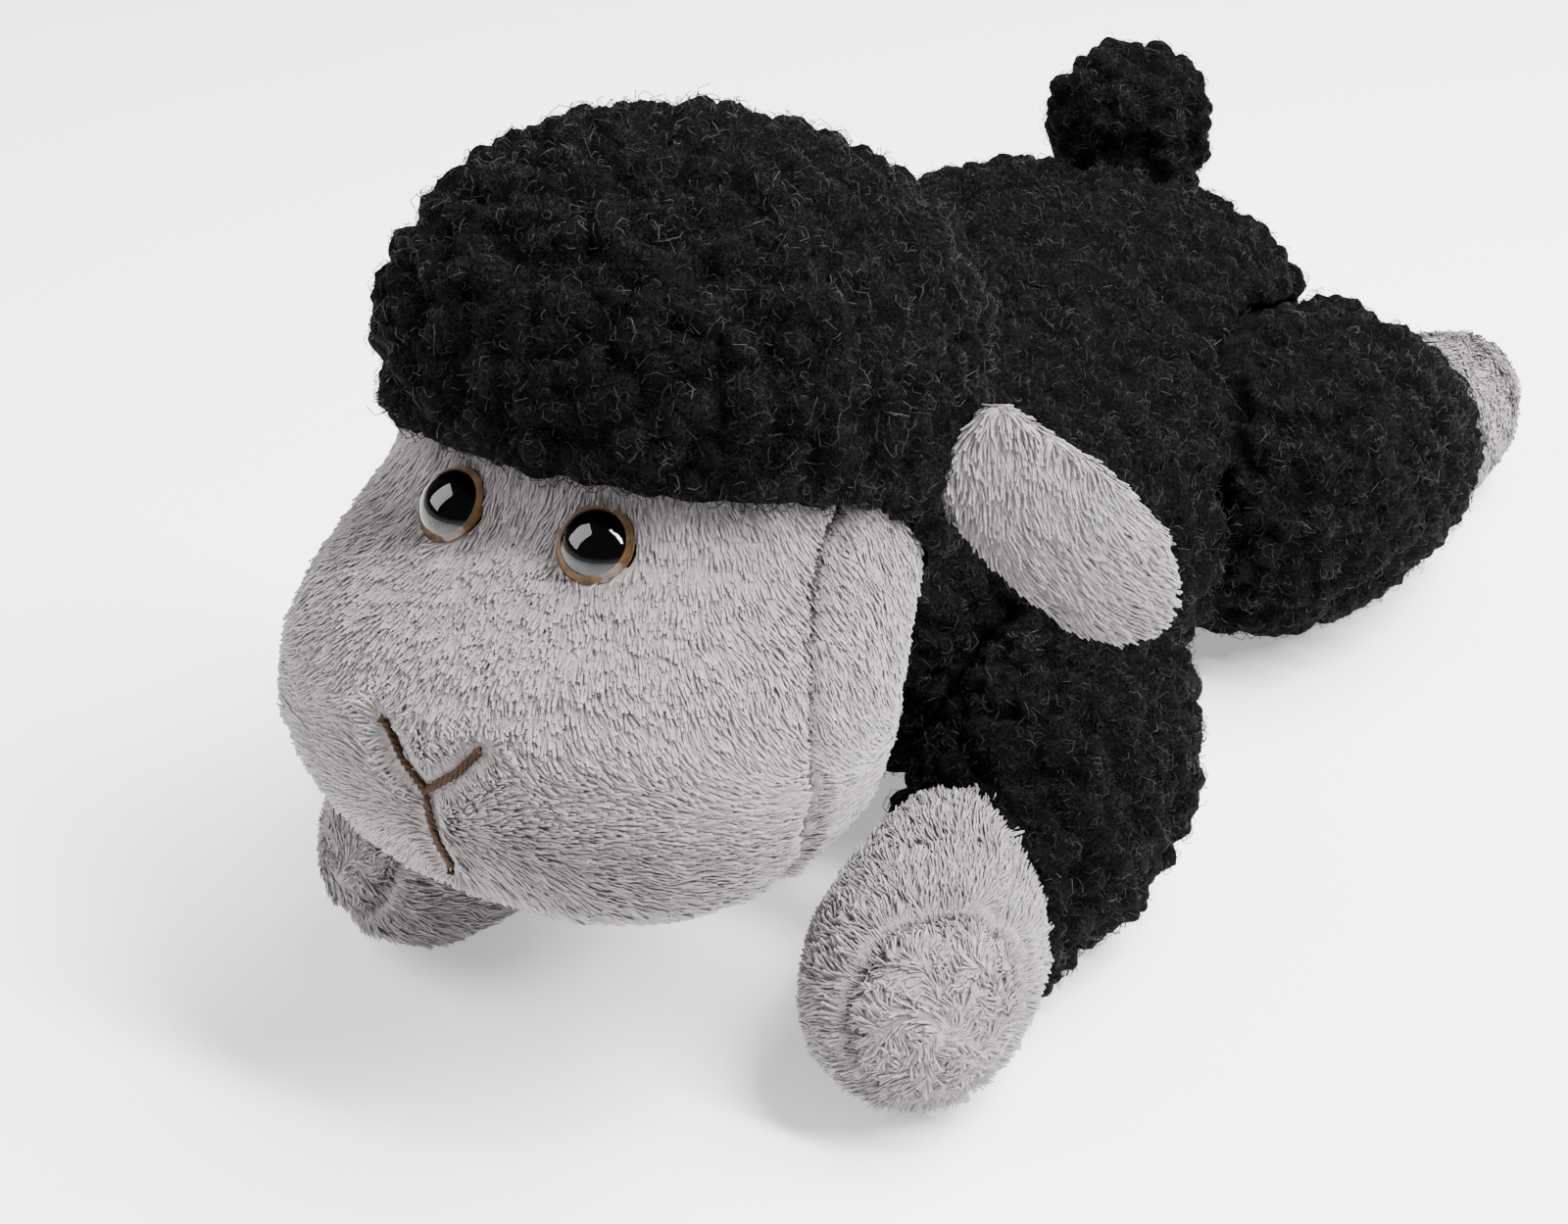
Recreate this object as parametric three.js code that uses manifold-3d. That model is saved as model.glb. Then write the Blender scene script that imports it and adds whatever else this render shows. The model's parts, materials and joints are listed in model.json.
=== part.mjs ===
// Plush sheep that lies on its belly, with stuffed forms sewn together at the neck, shoulders, hips, ears
// and tail. Millimetres, +Z up, the sheep looks along -Y and its left side is +X.
import * as THREE from 'three';
import { mergeVertices } from 'three/addons/utils/BufferGeometryUtils.js';
import Module from 'manifold-3d';

const wasm = await Module();
wasm.setup();

// Clearances and cover thicknesses.
const clearance = 0.3;
const swingClearance = 0.6;
const fillRoomGap = 3;
const restCut = 0.5;
const plushThickness = 2.6;
const woolThickness = 3.4;
const overrun = 20;

// Body. Its loft starts a little in front of the neck seam, and ends at the rump.
const torsoLength = 168;
const torsoWidth = 105;
const torsoHeight = 78;
const torsoLead = 10;
const bellySeamHeight = 17;
// Rows from chest to rump: place along the body, half width, top and bottom.
const torsoShares = [
  [0.0, 0.0, 0.55, 0.55],
  [0.02, 0.36, 0.78, 0.3],
  [0.08, 0.62, 0.915, 0.12],
  [0.16, 0.78, 0.955, 0.03],
  [0.28, 0.9, 0.975, 0.0],
  [0.43, 0.97, 0.99, 0.0],
  [0.58, 1.0, 1.0, 0.0],
  [0.74, 0.98, 0.99, 0.0],
  [0.86, 0.87, 0.92, 0.05],
  [0.94, 0.64, 0.79, 0.16],
  [0.985, 0.33, 0.65, 0.3],
  [1.0, 0.0, 0.48, 0.48],
];
const torsoSquareness = 2.4;
const torsoWaistShare = 0.42;

// Neck: the round front of the body, on which the back of the head sits, and its packed stuffing.
const neckHeight = 44;
const neckRadius = 30;
const neckFillRadius = 15;
const neckOpeningRadius = 11;
const ballClearance = 0.8;

// Head. It is turned to the sheep's right and tipped up a little, as it lies.
const headAhead = 48.8;
const headAcross = -5;
const headRise = 24.6;
const headTurn = -8.6;
const headTip = -6.5;
const headLean = -3.5;
const headHeight = 110;
const headWidth = 96;
const faceReach = 53.5;
const headBack = 45;
const chinDrop = 43;
// Rows from chin to crown: level, half width, how far the front and the back reach.
const headShares = [
  [0.0, 0.0, 0.15, -0.17],
  [0.017, 0.37, 0.5, 0.1],
  [0.07, 0.66, 0.785, 0.24],
  [0.157, 0.88, 0.935, 0.38],
  [0.26, 0.985, 1.0, 0.44],
  [0.357, 0.985, 0.97, 0.5],
  [0.443, 0.945, 0.84, 0.61],
  [0.522, 0.89, 0.645, 0.73],
  [0.6, 0.85, 0.515, 0.86],
  [0.69, 0.84, 0.535, 0.99],
  [0.79, 0.815, 0.54, 1.0],
  [0.878, 0.71, 0.44, 0.885],
  [0.95, 0.5, 0.24, 0.64],
  [0.99, 0.22, 0.0, 0.34],
  [1.0, 0.0, -0.16, 0.18],
];
const headSquareness = 2.4;
const capThickness = 4;
// Lower edge of the wool cap, seen from the side: how far back, and the level.
const capEdgeShares = [
  [-1.5, 0.65],
  [-0.6, 0.648],
  [-0.15, 0.625],
  [0.1, 0.575],
  [0.38, 0.46],
  [0.7, 0.26],
  [1.3, -0.3],
];
const capEdgeSteps = 3;
const cheekSeamShare = 0.24;
const cheekSeamTilt = 9;

// Eyes: a clear dome over a painted ring, and a black back with the pupil and its ribbed shank.
const eyeRadius = 6;
const eyeDomeHeight = 4.4;
const eyeSpread = 13;
const eyeLevelShare = 0.563;
const eyeSink = 0.8;
const eyeGap = 0.12;
const eyePlateThickness = 0.9;
const pupilRadius = 4.6;
const pupilRise = 0.5;
const clothGrip = 1.1;
const shankRadius = 1.7;
const shankRib = 0.25;
const shankRibCount = 3;
const shankLength = 11;
const washerRadius = 7;
const washerThickness = 0.9;
const washerTeeth = 6;
const washerSlotLength = 1.8;
const washerSlotWidth = 0.7;

// Nose and mouth stitch, a Y of brown thread drawn into the face.
const threadRadius = 0.65;
const noseLevelShare = 0.265;
const noseArmSpread = 9;
const noseArmRise = 8.5;
const noseStemDrop = 15;
const noseSinkShare = 0.3;
// Where the arms of the Y bend: shares of their spread and rise.
const noseBendAcrossShare = 0.55;
const noseBendUpShare = 0.45;

// Ears, two flat panels each, which hang outwards from a seam beside the cap.
const earLength = 39;
const earWidth = 24;
const earThickness = 8;
const earSeamSetbackShare = 0.38;
const earSeamLevelShare = 0.635;
const earStandOff = 2;
const earSag = 3;
const earTurnBack = 31;
const earDroop = 37;
// Rows from seam to tip: place along the ear, width and thickness.
const earShares = [
  [0.0, 0.82, 0.98],
  [0.12, 0.86, 0.96],
  [0.3, 0.95, 0.95],
  [0.52, 1.0, 1.0],
  [0.74, 0.93, 0.95],
  [0.9, 0.66, 0.75],
  [0.975, 0.34, 0.45],
  [1.0, 0.0, 0.0],
];

// Front legs. Each starts at the shoulder, bows outwards and ends in a paw on the ground.
const shoulderAcross = 42;
const shoulderBehindNeck = 12;
const shoulderHeight = 26;
const armLengthLeft = 93;
const armLengthRight = 90;
const armRadius = 22;
const armBow = 6;
const armTurnLeft = 1;
const armTurnRight = -2;
const pawRadius = 18;
const wristShare = 0.52;
const wristTurn = -20;
const wristTip = 12;
// Rows from shoulder to paw: place along the leg, bow outwards, how far it has come down, radius.
const armShares = [
  [0.0, 0.0, 0.0, 0.95],
  [0.22, 0.85, 0.3, 1.0],
  [0.38, 0.6, 0.75, 0.91],
  [0.52, 0.05, 1.0, 0.78],
  [0.68, 0.1, 1.0, 0.84],
  [0.85, 0.55, 1.0, 0.77],
  [0.96, 0.9, 1.0, 0.46],
  [1.0, 1.0, 1.0, 0.0],
];
const pawSoleTurn = 48;
const pawSoleTip = 26;

// Hind legs. Each starts at the hip and lies back and outwards.
const hipAcross = 46;
const hipBehindNeck = 95;
const hipHeight = 32;
const legLength = 95;
const legRadius = 30;
const legSpread = 20;
const footRadius = 16.5;
const ankleShare = 0.605;
const ankleTurn = 22;
const ankleTip = -8;
const legShares = [
  [0.0, 0.0, 0.0, 1.05],
  [0.25, 0.36, 0.22, 0.97],
  [0.47, 0.6, 0.72, 0.71],
  [0.62, 0.71, 1.0, 0.57],
  [0.76, 0.79, 1.0, 0.56],
  [0.89, 0.9, 1.0, 0.49],
  [0.97, 0.98, 1.0, 0.31],
  [1.0, 1.0, 1.0, 0.0],
];
const footSoleTurn = 15;
const footSoleTip = 10;
const soleShare = 0.4;
const rootOpeningShare = 0.5;

// Tail, a stuffed knob that stands up on the rump.
const tailBehindNeck = 142;
const tailHeight = 69;
const tailLength = 24.5;
const tailRadius = 15;
// Rows from root to tip: place along the tail, and radius.
const tailShares = [
  [0.0, 1.0],
  [0.3, 1.0],
  [0.62, 1.0],
  [0.86, 0.76],
  [0.96, 0.44],
  [1.0, 0.0],
];

// How finely the forms are faceted: sides round, and steps along.
const torsoSteps = [22, 14];
const torsoFillSteps = [12, 9];
const headSteps = [24, 17];
const headFillSteps = [14, 11];
const limbSides = 12;
const limbRowSteps = 8;
const tailRowSteps = 6;
const limbFillSides = 8;
const earSteps = [12, 7];
const ballSteps = [20, 12];
const neckFillSteps = [16, 10];
const ballFillSteps = [12, 8];
const rootSteps = 3;
const facetTolerance = 0.05;
const holeSides = 12;
const eyeSides = 20;
const eyeArcSteps = 5;
const threadSides = 6;
const threadSteps = 5;
const ellipse = 2;
const steepShare = 0.9;

const finish = (name, color, roughness, more = {}) => new THREE.MeshStandardMaterial({
  name, color, roughness, metalness: 0, ...more,
});
const wool = finish('wool', '#1f1f20', 0.95);
const plush = finish('plush', '#a6a1a1', 0.9);
const stuffing = finish('stuffing', '#efece4', 1);
const clear = finish('clear', '#e8e4dc', 0.04, { transparent: true, opacity: 0.35 });
const amber = finish('amber', '#7a4c22', 0.3);
const black = finish('black', '#0b0a0a', 0.2);
const washerPlastic = finish('washer', '#e4e4e0', 0.5);
const thread = finish('thread', '#5c4123', 0.7);

const vector = (x, y, z) => new THREE.Vector3(x, y, z);
const radians = THREE.MathUtils.degToRad;

// Makes a solid that can be cut from a closed geometry.
function solidOf(geometry) {
  const bare = new THREE.BufferGeometry();
  bare.setAttribute('position', geometry.getAttribute('position').clone());
  if (geometry.index) bare.setIndex(geometry.index.clone());
  const merged = mergeVertices(bare);
  return new wasm.Manifold(new wasm.Mesh({
    numProp: 3,
    vertProperties: new Float32Array(merged.getAttribute('position').array),
    triVerts: new Uint32Array(merged.index.array),
  }));
}

// Turns a solid back into a geometry.
function geometryOf(solid) {
  const mesh = solid.getMesh();
  const geometry = new THREE.BufferGeometry();
  geometry.setAttribute('position', new THREE.BufferAttribute(new Float32Array(mesh.vertProperties), 3));
  geometry.setIndex(new THREE.BufferAttribute(new Uint32Array(mesh.triVerts), 1));
  geometry.computeVertexNormals();
  return geometry;
}

// Reads a smooth curve through the rows of a table at even steps.
function smoothRows(rows, steps) {
  const curves = rows[0].map((_, column) => new THREE.SplineCurve(
    rows.map((row, index) => new THREE.Vector2(index, row[column])),
  ));
  const rowAt = (step) => curves.map((curve) => curve.getPoint(step / steps).y);
  return Array.from({ length: steps + 1 }, (_, step) => rowAt(step));
}

// Points round an oval of half size 1. Its squareness is 2 for an ellipse, and more is squarer.
function ovalPoints(count, squareness) {
  return Array.from({ length: count }, (_, step) => {
    const angle = (2 * Math.PI * step) / count;
    const across = Math.sign(Math.cos(angle)) * Math.abs(Math.cos(angle)) ** (2 / squareness);
    const along = Math.sign(Math.sin(angle)) * Math.abs(Math.sin(angle)) ** (2 / squareness);
    return [across, along];
  });
}

// Closes a skin over rings of points, from a pole before the first ring to one after the last.
function skin(startPole, rings, endPole) {
  const count = rings[0].length;
  const corners = [startPole, ...rings.flat(), endPole];
  const corner = (ring, step) => 1 + ring * count + (step % count);
  const faces = [];
  for (let step = 0; step < count; step += 1) {
    faces.push(0, corner(0, step + 1), corner(0, step));
    for (let ring = 0; ring < rings.length - 1; ring += 1) {
      faces.push(corner(ring, step), corner(ring, step + 1), corner(ring + 1, step + 1));
      faces.push(corner(ring, step), corner(ring + 1, step + 1), corner(ring + 1, step));
    }
    faces.push(corners.length - 1, corner(rings.length - 1, step), corner(rings.length - 1, step + 1));
  }
  const geometry = new THREE.BufferGeometry().setFromPoints(corners);
  geometry.setIndex(faces);
  return geometry;
}

// Moves the skin of a form inwards by a depth, or outwards by a negative one.
function inset(geometry, depth) {
  const moved = geometry.clone();
  moved.computeVertexNormals();
  const places = moved.getAttribute('position');
  const normals = moved.getAttribute('normal');
  for (let index = 0; index < places.count; index += 1) {
    const place = vector().fromBufferAttribute(places, index);
    const normal = vector().fromBufferAttribute(normals, index);
    place.addScaledVector(normal, -depth);
    places.setXYZ(index, place.x, place.y, place.z);
  }
  return moved;
}

const unionOf = (solids) => solids.reduce((joined, solid) => joined.add(solid));

function sphere(centre, radius, [around, up] = ballSteps) {
  const geometry = new THREE.SphereGeometry(radius, around, up);
  geometry.translate(centre.x, centre.y, centre.z);
  return solidOf(geometry);
}

// Body form, lofted from chest to rump.
function torsoForm([around, along]) {
  const oval = ovalPoints(around, torsoSquareness);
  const rows = smoothRows(torsoShares, along).map(([place, width, top, bottom]) => ({
    y: place * torsoLength - torsoLead,
    half: width * (torsoWidth / 2),
    top: top * (torsoHeight + restCut) - restCut,
    bottom: bottom * (torsoHeight + restCut) - restCut,
  }));
  const pointOf = (row, across, high) => {
    const middle = row.bottom + (row.top - row.bottom) * torsoWaistShare;
    const reach = high > 0 ? row.top - middle : middle - row.bottom;
    return vector(-across * row.half, row.y, middle + high * reach);
  };
  const rings = rows.slice(1, -1).map((row) => oval.map(([across, high]) => pointOf(row, across, high)));
  return skin(pointOf(rows[0], 0, 0), rings, pointOf(rows[along], 0, 0));
}

// Head form in the head's own frame, lofted from chin to crown.
function headForm([around, up]) {
  const oval = ovalPoints(around, headSquareness);
  const rows = smoothRows(headShares, up).map(([level, width, front, back]) => ({
    z: level * headHeight - chinDrop,
    half: width * (headWidth / 2),
    front: -front * faceReach,
    back: back * headBack,
  }));
  const pointOf = (row, across, along) => {
    const middle = (row.front + row.back) / 2;
    return vector(across * row.half, middle + along * (row.back - middle), row.z);
  };
  const rings = rows.slice(1, -1).map((row) => oval.map(([across, along]) => pointOf(row, across, along)));
  return skin(pointOf(rows[0], 0, 0), rings, pointOf(rows[up], 0, 0));
}

// A limb with a round root: the path and radius come from rows of places, in the limb's frame.
function limbForm(rows, around) {
  const path = rows.map((row) => row.place);
  const tangentAt = (index) => path[Math.min(index + 1, path.length - 1)].clone()
    .sub(path[Math.max(index - 1, 0)]).normalize();
  const oval = ovalPoints(around, ellipse);
  const ringAt = (centre, tangent, radius) => {
    const helper = Math.abs(tangent.z) > steepShare ? vector(0, 1, 0) : vector(0, 0, 1);
    const side = helper.clone().cross(tangent).normalize();
    const up = tangent.clone().cross(side);
    return oval.map(([across, high]) => centre.clone()
      .addScaledVector(side, across * radius).addScaledVector(up, high * radius));
  };
  const root = rows[0];
  const rootTangent = tangentAt(0);
  const rings = [];
  for (let step = 1; step < rootSteps; step += 1) {
    const angle = (Math.PI / 2) * (1 - step / rootSteps);
    const centre = root.place.clone().addScaledVector(rootTangent, -root.radius * Math.sin(angle));
    rings.push(ringAt(centre, rootTangent, root.radius * Math.cos(angle)));
  }
  rows.slice(0, -1).forEach((row, index) => rings.push(ringAt(row.place, tangentAt(index), row.radius)));
  const startPole = root.place.clone().addScaledVector(rootTangent, -root.radius);
  return skin(startPole, rings, path[path.length - 1]);
}

// A flat stuffed ear in its own frame: X runs from seam to tip, Z along the seam, Y through the panels.
function earForm([around, along]) {
  const oval = ovalPoints(around, ellipse);
  const rows = smoothRows(earShares, along).map(([out, width, depth]) => ({
    x: out * earLength,
    z: -out * out * earSag,
    half: Math.max(width, 0) * (earWidth / 2),
    thin: Math.max(depth, 0) * (earThickness / 2),
  }));
  const pointOf = (row, across, high) => vector(row.x, across * row.thin, row.z + high * row.half);
  const ringAt = (row) => oval.map(([across, high]) => pointOf(row, across, high));
  const [root] = rows;
  const rings = [];
  for (let step = 1; step < rootSteps; step += 1) {
    const angle = (Math.PI / 2) * (1 - step / rootSteps);
    const narrowed = root.thin * (1 - Math.cos(angle));
    rings.push(ringAt({
      x: -root.thin * Math.sin(angle), z: root.z, half: root.half - narrowed, thin: root.thin - narrowed,
    }));
  }
  rows.slice(0, -1).forEach((row) => rings.push(ringAt(row)));
  const tip = rows[rows.length - 1];
  return skin(vector(-root.thin, 0, 0), rings, vector(tip.x, 0, tip.z));
}

// Everything beyond a plane: a large box on the side that the direction points to.
const reach = 2 * torsoLength;
function beyond(point, direction) {
  const geometry = new THREE.BoxGeometry(2 * reach, 2 * reach, 2 * reach);
  geometry.translate(0, 0, reach);
  geometry.applyQuaternion(new THREE.Quaternion().setFromUnitVectors(vector(0, 0, 1), direction));
  geometry.translate(point.x, point.y, point.z);
  return solidOf(geometry);
}
const origin = vector(0, 0, 0);
const forwards = vector(0, -1, 0);
const upwards = vector(0, 0, 1);
const ground = beyond(origin, vector(0, 0, -1));

// A round cutter that runs a length from a point in a direction.
function drill(start, direction, radius, length) {
  const geometry = new THREE.CylinderGeometry(radius, radius, length, holeSides);
  geometry.translate(0, length / 2, 0);
  geometry.applyQuaternion(new THREE.Quaternion().setFromUnitVectors(vector(0, 1, 0), direction));
  geometry.translate(start.x, start.y, start.z);
  return solidOf(geometry);
}

// The rows of the limbs: side 1 is the sheep's left side, and -1 its right.
function armRows(side, shoulder, length, turnOut) {
  const drop = pawRadius - restCut - shoulderHeight;
  return smoothRows(armShares, limbRowSteps).map(([along, bow, down, radius]) => ({
    place: vector(side * bow * armBow, -along * length, down * drop)
      .applyAxisAngle(upwards, side * radians(turnOut)).add(shoulder),
    radius: Math.max(radius, 0) * armRadius,
  }));
}

function legRows(side, hip) {
  const drop = footRadius - restCut - hipHeight;
  return smoothRows(legShares, limbRowSteps).map(([along, out, down, radius]) => ({
    place: vector(side * out * legSpread, along * legLength, down * drop).add(hip),
    radius: Math.max(radius, 0) * legRadius,
  }));
}

function tailRows() {
  return smoothRows(tailShares, tailRowSteps).map(([along, radius]) => ({
    place: vector(0, tailBehindNeck, tailHeight + along * tailLength),
    radius: Math.max(radius, 0) * tailRadius,
  }));
}

// A limb's hollow cover, open where its root is sewn on, its stuffing, and the room for it with a ball
// round its root, on which it swings.
function limbSolids(rows, thickness) {
  const form = limbForm(rows, limbSides);
  const fillForm = limbForm(rows, limbFillSides);
  const [root, next] = rows;
  const inwards = root.place.clone().sub(next.place).normalize();
  const opening = drill(root.place, inwards, root.radius * rootOpeningShare, root.radius + overrun);
  const shell = solidOf(form).subtract(headRoom(clearance));
  const inside = solidOf(inset(fillForm, thickness)).subtract(headRoom(clearance + thickness));
  const fill = solidOf(inset(fillForm, thickness + clearance)).subtract(headRoom(2 * clearance + thickness));
  return {
    cover: shell.subtract(inside).subtract(opening).subtract(ground),
    fill: fill.subtract(ground),
    room: solidOf(inset(form, -swingClearance)).add(sphere(root.place, root.radius + ballClearance)),
    fillRoom: solidOf(inset(fillForm, -fillRoomGap))
      .add(sphere(root.place, root.radius + fillRoomGap, ballFillSteps)),
  };
}

// The wool sleeve, the plush cover and the sole of a leg, from its two seams.
function legCovers(cover, seam, soleSeam) {
  const cut = ({ point, direction }, gap) => beyond(point.clone().addScaledVector(direction, gap), direction);
  return [
    cover.subtract(cut(seam, 0)),
    cover.intersect(cut(seam, clearance)).subtract(cut(soleSeam, 0)),
    cover.intersect(cut(soleSeam, clearance)),
  ];
}

// A seam across a leg. It faces along the leg, turned outwards and tipped up by two angles.
function seamAt(point, side, along, turn, tip) {
  const level = Math.cos(radians(tip));
  const outwards = side * Math.sin(radians(turn)) * level;
  const ahead = along * Math.cos(radians(turn)) * level;
  return { point, direction: vector(outwards, ahead, Math.sin(radians(tip))) };
}

// The seam round the sole, on the round end of a leg.
function soleSeamAt(rows, radius, side, along, turn, tip) {
  const seam = seamAt(rows[rows.length - 1].place.clone(), side, along, turn, tip);
  seam.point.y -= along * radius;
  seam.point.addScaledVector(seam.direction, soleShare * radius);
  return seam;
}

// The point where a ray from outside first meets a form, and the way the form faces there.
function seatOn(geometry, aim, outwards, span) {
  const target = new THREE.Mesh(geometry, new THREE.MeshBasicMaterial({ side: THREE.DoubleSide }));
  const across = vector(0, 0, 1).cross(outwards).normalize();
  const up = outwards.clone().cross(across);
  const hit = (right, high) => {
    const start = aim.clone().addScaledVector(outwards, reach)
      .addScaledVector(across, right).addScaledVector(up, high);
    return new THREE.Raycaster(start, outwards.clone().negate()).intersectObject(target)[0].point;
  };
  const normal = hit(span, 0).sub(hit(-span, 0)).cross(hit(0, span).sub(hit(0, -span))).normalize();
  return { point: hit(0, 0), normal };
}

const sheep = new THREE.Group();
const sides = [['left', 1], ['right', -1]];

function addPiece(group, name, solid, material) {
  const mesh = new THREE.Mesh(geometryOf(solid.simplify(facetTolerance)), material);
  mesh.name = name;
  group.add(mesh);
  return mesh;
}

// The head's own turned frame, and the room that its form takes up, a gap wider.
const neck = vector(0, 0, neckHeight);
const head = headForm(headSteps);
const headGroup = new THREE.Group();
const turn = radians(headTurn);
headGroup.position.set(headAcross, -headAhead, neckHeight + headRise);
headGroup.rotation.set(radians(headTip), radians(headLean), turn, 'ZXY');
headGroup.updateMatrix();
sheep.add(headGroup);
const headRoom = (gap) => solidOf(inset(head, -gap).applyMatrix4(headGroup.matrix));

const neckInHead = neck.clone().applyMatrix4(headGroup.matrix.clone().invert());
const seat = sphere(neckInHead, neckRadius + ballClearance);

// Limbs and tail. Each leaves its room in the body.
const rooms = [];
const fillRooms = [];

for (const [name, side] of sides) {
  const shoulder = vector(side * shoulderAcross, shoulderBehindNeck, shoulderHeight);
  const length = side > 0 ? armLengthLeft : armLengthRight;
  const rows = armRows(side, shoulder, length, side > 0 ? armTurnLeft : armTurnRight);
  const { cover, fill, room, fillRoom } = limbSolids(rows, plushThickness);
  const wristPlace = vector(shoulder.x, shoulder.y - wristShare * length, pawRadius);
  const wrist = seamAt(wristPlace, side, -1, wristTurn, wristTip);
  const soleSeam = soleSeamAt(rows, pawRadius, side, -1, pawSoleTurn, pawSoleTip);
  const [sleeve, paw, sole] = legCovers(cover, wrist, soleSeam);
  addPiece(sheep, `front_leg_${name}_sleeve`, sleeve, wool);
  addPiece(sheep, `front_paw_${name}_cover`, paw, plush);
  addPiece(sheep, `front_paw_${name}_sole`, sole, plush);
  addPiece(sheep, `front_leg_${name}_stuffing`, fill, stuffing);
  rooms.push(room);
  fillRooms.push(fillRoom);
}

for (const [name, side] of sides) {
  const hip = vector(side * hipAcross, hipBehindNeck, hipHeight);
  const rows = legRows(side, hip);
  const { cover, fill, room, fillRoom } = limbSolids(rows, plushThickness);
  const anklePlace = vector(hip.x, hip.y + ankleShare * legLength, footRadius);
  const ankle = seamAt(anklePlace, side, 1, ankleTurn, ankleTip);
  const soleSeam = soleSeamAt(rows, footRadius, side, 1, footSoleTurn, footSoleTip);
  const [sleeve, foot, sole] = legCovers(cover, ankle, soleSeam);
  addPiece(sheep, `hind_leg_${name}_sleeve`, sleeve, wool);
  addPiece(sheep, `hind_foot_${name}_cover`, foot, plush);
  addPiece(sheep, `hind_foot_${name}_sole`, sole, plush);
  addPiece(sheep, `hind_leg_${name}_stuffing`, fill, stuffing);
  rooms.push(room);
  fillRooms.push(fillRoom);
}

const tail = limbSolids(tailRows(), woolThickness);
addPiece(sheep, 'tail_cover', tail.cover, wool);
addPiece(sheep, 'tail_stuffing', tail.fill, stuffing);
rooms.push(tail.room);
fillRooms.push(tail.fillRoom);

// Body: a wool back and a wool belly panel round the stuffing, with a round front for the head to sit on.
const torso = torsoForm(torsoSteps);
const torsoInside = torsoForm(torsoFillSteps);
const neckOpening = drill(neck, forwards, neckOpeningRadius, neckRadius + overrun);
const torsoHollow = solidOf(inset(torsoInside, woolThickness))
  .add(sphere(neck, neckRadius - woolThickness, neckFillSteps));
const torsoCover = solidOf(torso).add(sphere(neck, neckRadius)).subtract(torsoHollow)
  .subtract(ground).subtract(unionOf(rooms)).subtract(neckOpening);
const bellySeam = vector(0, 0, bellySeamHeight);
const backSeam = vector(0, 0, bellySeamHeight + clearance);
addPiece(sheep, 'back_cover', torsoCover.intersect(beyond(backSeam, upwards)), wool);
addPiece(sheep, 'belly_panel', torsoCover.subtract(beyond(bellySeam, upwards)), wool);
const bodyFill = solidOf(inset(torsoInside, woolThickness + clearance))
  .add(sphere(neck, neckRadius - woolThickness - clearance, neckFillSteps))
  .subtract(ground).subtract(unionOf(fillRooms)).subtract(neckOpening)
  .subtract(sphere(neck, neckFillRadius + ballClearance, neckFillSteps));
addPiece(sheep, 'body_stuffing', bodyFill, stuffing);
addPiece(sheep, 'neck_stuffing', sphere(neck, neckFillRadius, neckFillSteps), stuffing);

// The region of the wool cap: an outline in the side view, drawn out across the head.
function capRegion(drop) {
  const edge = capEdgeShares.map(([back, level]) => new THREE.Vector2(
    back * headBack - drop, level * headHeight - chinDrop - drop,
  ));
  const outline = new THREE.Shape();
  outline.moveTo(edge[0].x, edge[0].y);
  outline.splineThru(edge.slice(1));
  outline.lineTo(reach, edge[edge.length - 1].y);
  outline.lineTo(reach, reach);
  outline.lineTo(edge[0].x, reach);
  outline.closePath();
  const geometry = new THREE.ExtrudeGeometry(outline, {
    depth: 2 * headWidth, bevelEnabled: false, curveSegments: capEdgeSteps,
  });
  geometry.rotateX(Math.PI / 2);
  geometry.rotateZ(Math.PI / 2);
  geometry.translate(-headWidth, 0, 0);
  return solidOf(geometry);
}

// Ears, each of two panels that swing together about the seam.
const earRoomList = [];
for (const [name, side] of sides) {
  const aim = vector(0, earSeamSetbackShare * headBack, earSeamLevelShare * headHeight - chinDrop);
  const capSkin = inset(head, -capThickness);
  const { point } = seatOn(capSkin, aim, vector(side, 0, 0), earThickness);
  const along = vector(side * Math.cos(radians(earTurnBack)), Math.sin(radians(earTurnBack)), 0)
    .multiplyScalar(Math.cos(radians(earDroop))).setZ(-Math.sin(radians(earDroop)));
  const up = vector(0, 0, 1).addScaledVector(along, -along.z).normalize();
  const through = up.clone().cross(along);
  const earGroup = new THREE.Group();
  earGroup.quaternion.setFromRotationMatrix(new THREE.Matrix4().makeBasis(along, through, up));
  earGroup.position.copy(point).addScaledVector(along, earStandOff);
  earGroup.updateMatrix();
  headGroup.add(earGroup);
  const form = earForm(earSteps);
  const ear = solidOf(form);
  const front = ear.intersect(beyond(vector(0, -clearance / 2, 0), forwards));
  const rear = ear.subtract(beyond(vector(0, clearance / 2, 0), forwards));
  addPiece(earGroup, `ear_${name}_inner_panel`, side > 0 ? front : rear, plush);
  addPiece(earGroup, `ear_${name}_outer_panel`, side > 0 ? rear : front, plush);
  const room = solidOf(inset(form, -swingClearance).applyMatrix4(earGroup.matrix));
  earRoomList.push(room);
}
const earRooms = unionOf(earRoomList);

const headInside = headForm(headFillSteps);
const headInner = solidOf(inset(headInside, plushThickness));
const cap = solidOf(inset(head, -capThickness)).subtract(headInner)
  .intersect(capRegion(0)).subtract(seat).subtract(earRooms);
let face = solidOf(head).subtract(headInner).subtract(capRegion(clearance)).subtract(seat).subtract(earRooms);
let headFill = solidOf(inset(headInside, plushThickness + clearance)).subtract(seat);

// Eyes. Each is pushed through the face panel and held by a washer behind it.
const plateTop = eyePlateThickness;
const pupilTop = plateTop + pupilRise;
const washerTop = -clothGrip - clearance;

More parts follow.
